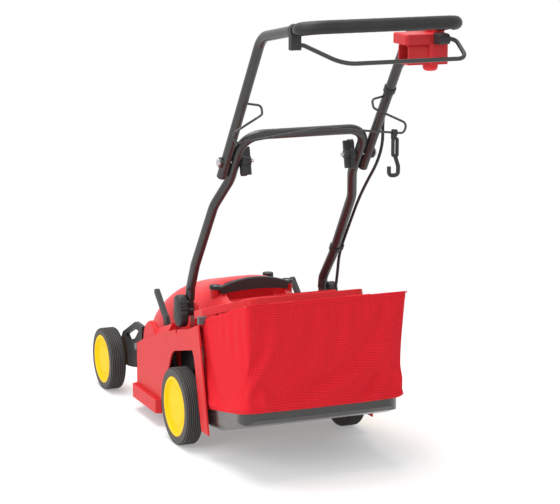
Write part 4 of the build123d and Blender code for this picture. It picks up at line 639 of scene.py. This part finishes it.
given = place_node("NodeGroupInput").outputs
lines = place_node("GeometryNodeMeshToCurve", links={"Mesh": given["Lines"]}).outputs["Curve"]
spacing = {"Curve": lines, "Length": given["Pitch"]}
steps = place_node("GeometryNodeResampleCurve", {"mode": "LENGTH"}, spacing)
tangent = place_node("GeometryNodeInputTangent").outputs["Tangent"]
facing = place_node("FunctionNodeAlignRotationToVector", {"axis": "X"}, {"Vector": tangent})
bead = place_node("GeometryNodeMeshUVSphere", links={"Segments": 6, "Rings": 4, "Radius": 0.5})
sizes = place_node("ShaderNodeCombineXYZ", links={0: given["Length"], 1: given["Width"], 2: given["Width"]})
laid = place_node("GeometryNodeInstanceOnPoints", links={
    "Points": steps.outputs["Curve"], "Instance": bead.outputs["Mesh"],
    "Rotation": facing.outputs["Rotation"], "Scale": sizes.outputs[0],
})
real = place_node("GeometryNodeRealizeInstances", links={"Geometry": laid.outputs["Instances"]})
dyed = place_node("GeometryNodeSetMaterial", links={"Geometry": real.outputs[0], "Material": given["Thread"]})
place_node("NodeGroupOutput", links={"Stitches": dyed.outputs[0]})
print("stitch tree has", len(stitch_tree.nodes), "nodes")

# %% Sewn hem
HEM_ROWS = (2, ROWS - 2)
HEM_MARGIN = 6
THREAD_LIFT = 0.0002
thread_finish = Finish("hem_thread")
twist = thread_finish.noise(900.0, 2)
thread_red = thread_finish.mix(twist, (0.50, 0.010, 0.016), (0.70, 0.020, 0.028))
hem_thread = thread_finish.set(Base_Color=thread_red, Roughness=0.7 + 0.1 * twist, Specular_IOR_Level=0.2)
points, edges = [], []
for row in HEM_ROWS:
    for column in range(HEM_MARGIN, columns - HEM_MARGIN):
        vert = cloth_mesh.vertices[row * columns + column]
        if column > HEM_MARGIN:
            edges.append((len(points) - 1, len(points)))
        points.append(vert.co + vert.normal * THREAD_LIFT)
hem_lines = bpy.data.meshes.new("hem_lines")
hem_lines.from_pydata(points, edges, [])
hem_holder = bpy.data.objects.new("hem_holder", hem_lines)
bpy.context.collection.objects.link(hem_holder)
sewing = hem_holder.modifiers.new("sewing", "NODES")
sewing.node_group = stitch_tree
for label, value in (("Pitch", 0.0055), ("Length", 0.0040), ("Width", 0.0011), ("Thread", hem_thread)):
    sewing[sockets[label]] = value
bpy.context.view_layer.update()
hem_mesh = bpy.data.meshes.new_from_object(hem_holder.evaluated_get(bpy.context.evaluated_depsgraph_get()))
bpy.data.objects.remove(hem_holder)
hem_mesh.name = "bag_hem"
bag_hem = bpy.data.objects.new("bag_hem", hem_mesh)
bpy.context.collection.objects.link(bag_hem)
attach(bag_hem, "grass_bag")
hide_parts("grass_bag")
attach(bag_cloth, "grass_bag")
print("hem of", len(hem_mesh.polygons), "faces sewn on")

# %% [markdown]
# The grip is a sleeve of black foam pushed over the loop. Foam is never a true tube: it is soft, so
# its girth wavers a little along the loop and it rounds over at its ends. It is lofted along the loop.

# %% Foam grip
GRIP_R = 0.0138
GRIP_FRONT = -600.0
LOOP_CORNER = 38.0
LOOP_REACH = -639.0
LOOP_BEND_Z = 975.0
LOOP_RISE = math.tan(math.radians(9.5))


def loop_point(x, ahead):
    """A point on the loop's middle line."""
    return spot(x, ahead, LOOP_BEND_Z + LOOP_RISE * (leg_ahead(LOOP_BEND_Z) - ahead))


BEND_STEPS, BAR_STEPS = 10, 40
half_line = [loop_point(-LEG_X, GRIP_FRONT)]
for i in range(BEND_STEPS + 1):
    turn = math.pi / 2 * i / BEND_STEPS
    half_line.append(loop_point(-LEG_X + LOOP_CORNER * (1 - math.cos(turn)),
                                LOOP_REACH + LOOP_CORNER * (1 - math.sin(turn))))
bar_end = -LEG_X + LOOP_CORNER
bar_line = [loop_point(bar_end * (1 - 2 * i / BAR_STEPS), LOOP_REACH) for i in range(1, BAR_STEPS)]
grip_line = half_line + bar_line
grip_line += [Vector((-p.x, p.y, p.z)) for p in reversed(half_line)]
grip_mesh = bmesh.new()
AROUND = 20
grip_rings = []
count = len(grip_line)
for i, place in enumerate(grip_line):
    along = (grip_line[min(i + 1, count - 1)] - grip_line[max(i - 1, 0)]).normalized()
    side = along.cross(Vector((0, 0, 1))).normalized()
    up = side.cross(along)
    edge = min(i, count - 1 - i)
    swell = GRIP_R * (1.0 + 0.006 * math.sin(i * 1.7)) * (0.90 if edge == 0 else 1.0)
    grip_rings.append([grip_mesh.verts.new(place + swell * (math.cos(a) * side + math.sin(a) * up))
                       for a in (math.tau * k / AROUND for k in range(AROUND))])
for first, second in zip(grip_rings, grip_rings[1:]):
    for k in range(AROUND):
        grip_mesh.faces.new((first[k], first[(k + 1) % AROUND], second[(k + 1) % AROUND], second[k]))
grip_mesh.faces.new(grip_rings[0])
grip_mesh.faces.new(grip_rings[-1])
bmesh.ops.recalc_face_normals(grip_mesh, faces=grip_mesh.faces)
for face in grip_mesh.faces:
    face.smooth = len(face.verts) == 4
sleeve_mesh = bpy.data.meshes.new("grip_sleeve")
grip_mesh.to_mesh(sleeve_mesh)
grip_mesh.free()
sleeve_mesh.materials.append(foam)
sleeve = bpy.data.objects.new("grip_sleeve", sleeve_mesh)
bpy.context.collection.objects.link(sleeve)
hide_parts("foam_grip")
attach(sleeve, "upper_handle")
print("grip made with", count, "rings")

# %% [markdown]
# The knobs at the handle's feet are teardrops with ribs that fan out from a hub, for wet fingers.
# Circles can't give that, so each is lofted in rings round its hub: the outline is a teardrop, the
# face is slightly domed, and a cosine presses the flutes into the face and the rim alike.

# %% Fluted foot knobs
KNOB_UP, KNOB_DOWN = (18.0, 20.0), (-13.0, 25.0)
HUB_UP = 16.0
KNOB_FACE, KNOB_BACK, COLLAR_BACK = 202.6, 178.9, 172.9
FLUTES, FLUTE_DEEP, COLLAR_R = 18, 1.7, 16.0
RAYS = 144
PIVOT_AHEAD, PIVOT_UP = 45.0, 303.0


OUTLINE_STEPS = 20


def teardrop(turn):
    """How far the knob's outline is from its hub in a direction, in millimetres."""
    ahead, up = math.cos(turn), math.sin(turn)
    far = 0.0
    for i in range(OUTLINE_STEPS + 1):
        down = i / OUTLINE_STEPS
        middle = KNOB_UP[0] * (1 - down) + KNOB_DOWN[0] * down - HUB_UP
        radius = KNOB_UP[1] * (1 - down) + KNOB_DOWN[1] * down
        reach = middle * up
        inside = radius ** 2 - (middle * ahead) ** 2
        if inside > 0:
            far = max(far, reach + math.sqrt(inside))
    return far


def knob_ring(share, x, flute):
    """One ring of a knob: a share of the outline at a distance from the middle of the mower."""
    ring = []
    for k in range(RAYS):
        turn = math.tau * k / RAYS
        low = max(0.0, min(1.0, 0.55 - math.sin(turn)))
        press = FLUTE_DEEP * (0.5 - 0.5 * math.cos(FLUTES * turn)) * low * flute
        far = max(0.2, teardrop(turn) * share - press)
        dip = press * 0.8 if share < 1 else 0.0
        ring.append((x - dip, PIVOT_AHEAD + far * math.cos(turn), PIVOT_UP + HUB_UP + far * math.sin(turn)))
    return ring


def collar_ring(x):
    """One ring of the round collar behind a knob."""
    turns = [math.tau * k / RAYS for k in range(RAYS)]
    return [(x, PIVOT_AHEAD + COLLAR_R * math.cos(a), PIVOT_UP + COLLAR_R * math.sin(a)) for a in turns]


# Each ring of a knob: its share of the outline, its distance from the middle and how fluted it is
profile = [(0.02, KNOB_FACE, 0.0), (0.22, KNOB_FACE - 0.2, 0.0), (0.40, KNOB_FACE - 0.5, 0.35),
           (0.60, KNOB_FACE - 1.0, 0.8), (0.80, KNOB_FACE - 1.8, 1.0), (0.92, KNOB_FACE - 3.0, 1.0),
           (0.98, KNOB_FACE - 5.0, 1.0), (1.0, KNOB_FACE - 8.0, 1.0), (1.0, KNOB_BACK + 3, 0.9),
           (0.97, KNOB_BACK + 0.6, 0.6), (0.92, KNOB_BACK, 0.3)]
for hand, name in ((-1, "foot_knob_left"), (1, "foot_knob_right")):
    knob_mesh = bmesh.new()
    outlines = [knob_ring(*step) for step in profile] + [collar_ring(KNOB_BACK), collar_ring(COLLAR_BACK)]
    knob_rings = [[knob_mesh.verts.new(spot(hand * x, ahead, z)) for x, ahead, z in outline]
                  for outline in outlines]
    for first, second in zip(knob_rings, knob_rings[1:]):
        for k in range(RAYS):
            knob_mesh.faces.new((first[k], first[(k + 1) % RAYS], second[(k + 1) % RAYS], second[k]))
    knob_mesh.faces.new(knob_rings[0])
    knob_mesh.faces.new(knob_rings[-1])
    bmesh.ops.recalc_face_normals(knob_mesh, faces=knob_mesh.faces)
    for face in knob_mesh.faces:
        face.smooth = len(face.verts) == 4
    lofted = bpy.data.meshes.new(name + "_fluted")
    knob_mesh.to_mesh(lofted)
    knob_mesh.free()
    lofted.materials.append(black_moulding)
    knob = bpy.data.objects.new(name + "_fluted", lofted)
    bpy.context.collection.objects.link(knob)
    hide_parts(name)
    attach(knob, name)
knob_top, knob_foot = (round(teardrop(turn), 1) for turn in (math.pi / 2, -math.pi / 2))
print("fluted knobs made, reaching", knob_top, "mm up and", knob_foot, "mm down from the hub")

# %% [markdown]
# A pale floor and large soft lamps stand in for a photo studio. The floor mixes in some plain white
# for what the camera sees, so the background is white without more light on the mower itself.

# %% Floor and light
floor_mesh = bpy.data.meshes.new("floor")
floor_mesh.from_pydata([(-40, -40, 0), (40, -40, 0), (40, 60, 0), (-40, 60, 0)], [], [(0, 1, 2, 3)])
floor = bpy.data.objects.new("floor", floor_mesh)
bpy.context.collection.objects.link(floor)
floor_finish = Finish("pale_floor")
floor_finish.set(Base_Color=(0.97, 0.97, 0.97), Roughness=0.9)
tree = floor_finish.tree
by_camera = floor_finish.node("ShaderNodeLightPath", out="Is Camera Ray")
in_gloss = floor_finish.node("ShaderNodeLightPath", out="Is Glossy Ray")
seen = by_camera + in_gloss
glow = floor_finish.node("ShaderNodeEmission", {}, {"Color": (1, 1, 1), "Strength": 1.0})
mixer = tree.nodes.new("ShaderNodeMixShader")
# Plain white takes over from the shadows between these distances from the mower, in metres
SHADOW_NEAR, SHADOW_FAR, LEAST_WHITE = 0.75, 1.5, 0.30
floor_x = floor_finish.axis("X")
floor_y = floor_finish.axis("Y")
away = floor_finish.ramp((floor_x * floor_x + floor_y * floor_y).root(), SHADOW_NEAR, SHADOW_FAR)
floor_finish.put(mixer.inputs[0], seen * (LEAST_WHITE + (1 - LEAST_WHITE) * away))
tree.links.new(floor_finish.shader.outputs[0], mixer.inputs[1])
tree.links.new(glow.socket, mixer.inputs[2])
tree.links.new(mixer.outputs[0], tree.nodes["Material Output"].inputs[0])
floor_mesh.materials.append(floor_finish.material)

world = bpy.data.worlds.new("studio")
bpy.context.scene.world = world
world.use_nodes = True
air = world.node_tree
air.nodes["Background"].inputs[0].default_value = (1, 1, 1, 1)
path = air.nodes.new("ShaderNodeLightPath")
both = air.nodes.new("ShaderNodeMath")
both.operation = "MAXIMUM"
air.links.new(path.outputs["Is Camera Ray"], both.inputs[0])
air.links.new(path.outputs["Is Glossy Ray"], both.inputs[1])
level = air.nodes.new("ShaderNodeMapRange")
level.inputs["To Min"].default_value = 0.55
level.inputs["To Max"].default_value = 1.0
air.links.new(both.outputs[0], level.inputs["Value"])
air.links.new(level.outputs[0], air.nodes["Background"].inputs[1])

# Each lamp: name, place and size in metres, power in watts
LAMPS = (
    ("top", (-0.5, 0.5, 3.6), 2.2, 105),
    ("left", (-3.6, -1.4, 2.4), 2.6, 80),
    ("front", (0.6, -4.2, 2.2), 2.8, 26),
)
LAMP_AIM = Vector((0, 0, 0.4))
for lamp_name, place, size, power in LAMPS:
    lamp_data = bpy.data.lights.new(lamp_name, "AREA")
    lamp_data.size = size
    lamp_data.energy = power
    lamp = bpy.data.objects.new(lamp_name, lamp_data)
    lamp.location = place
    lamp.rotation_euler = (LAMP_AIM - Vector(place)).to_track_quat("-Z", "Y").to_euler()
    bpy.context.collection.objects.link(lamp)
print("lamps:", len(LAMPS))
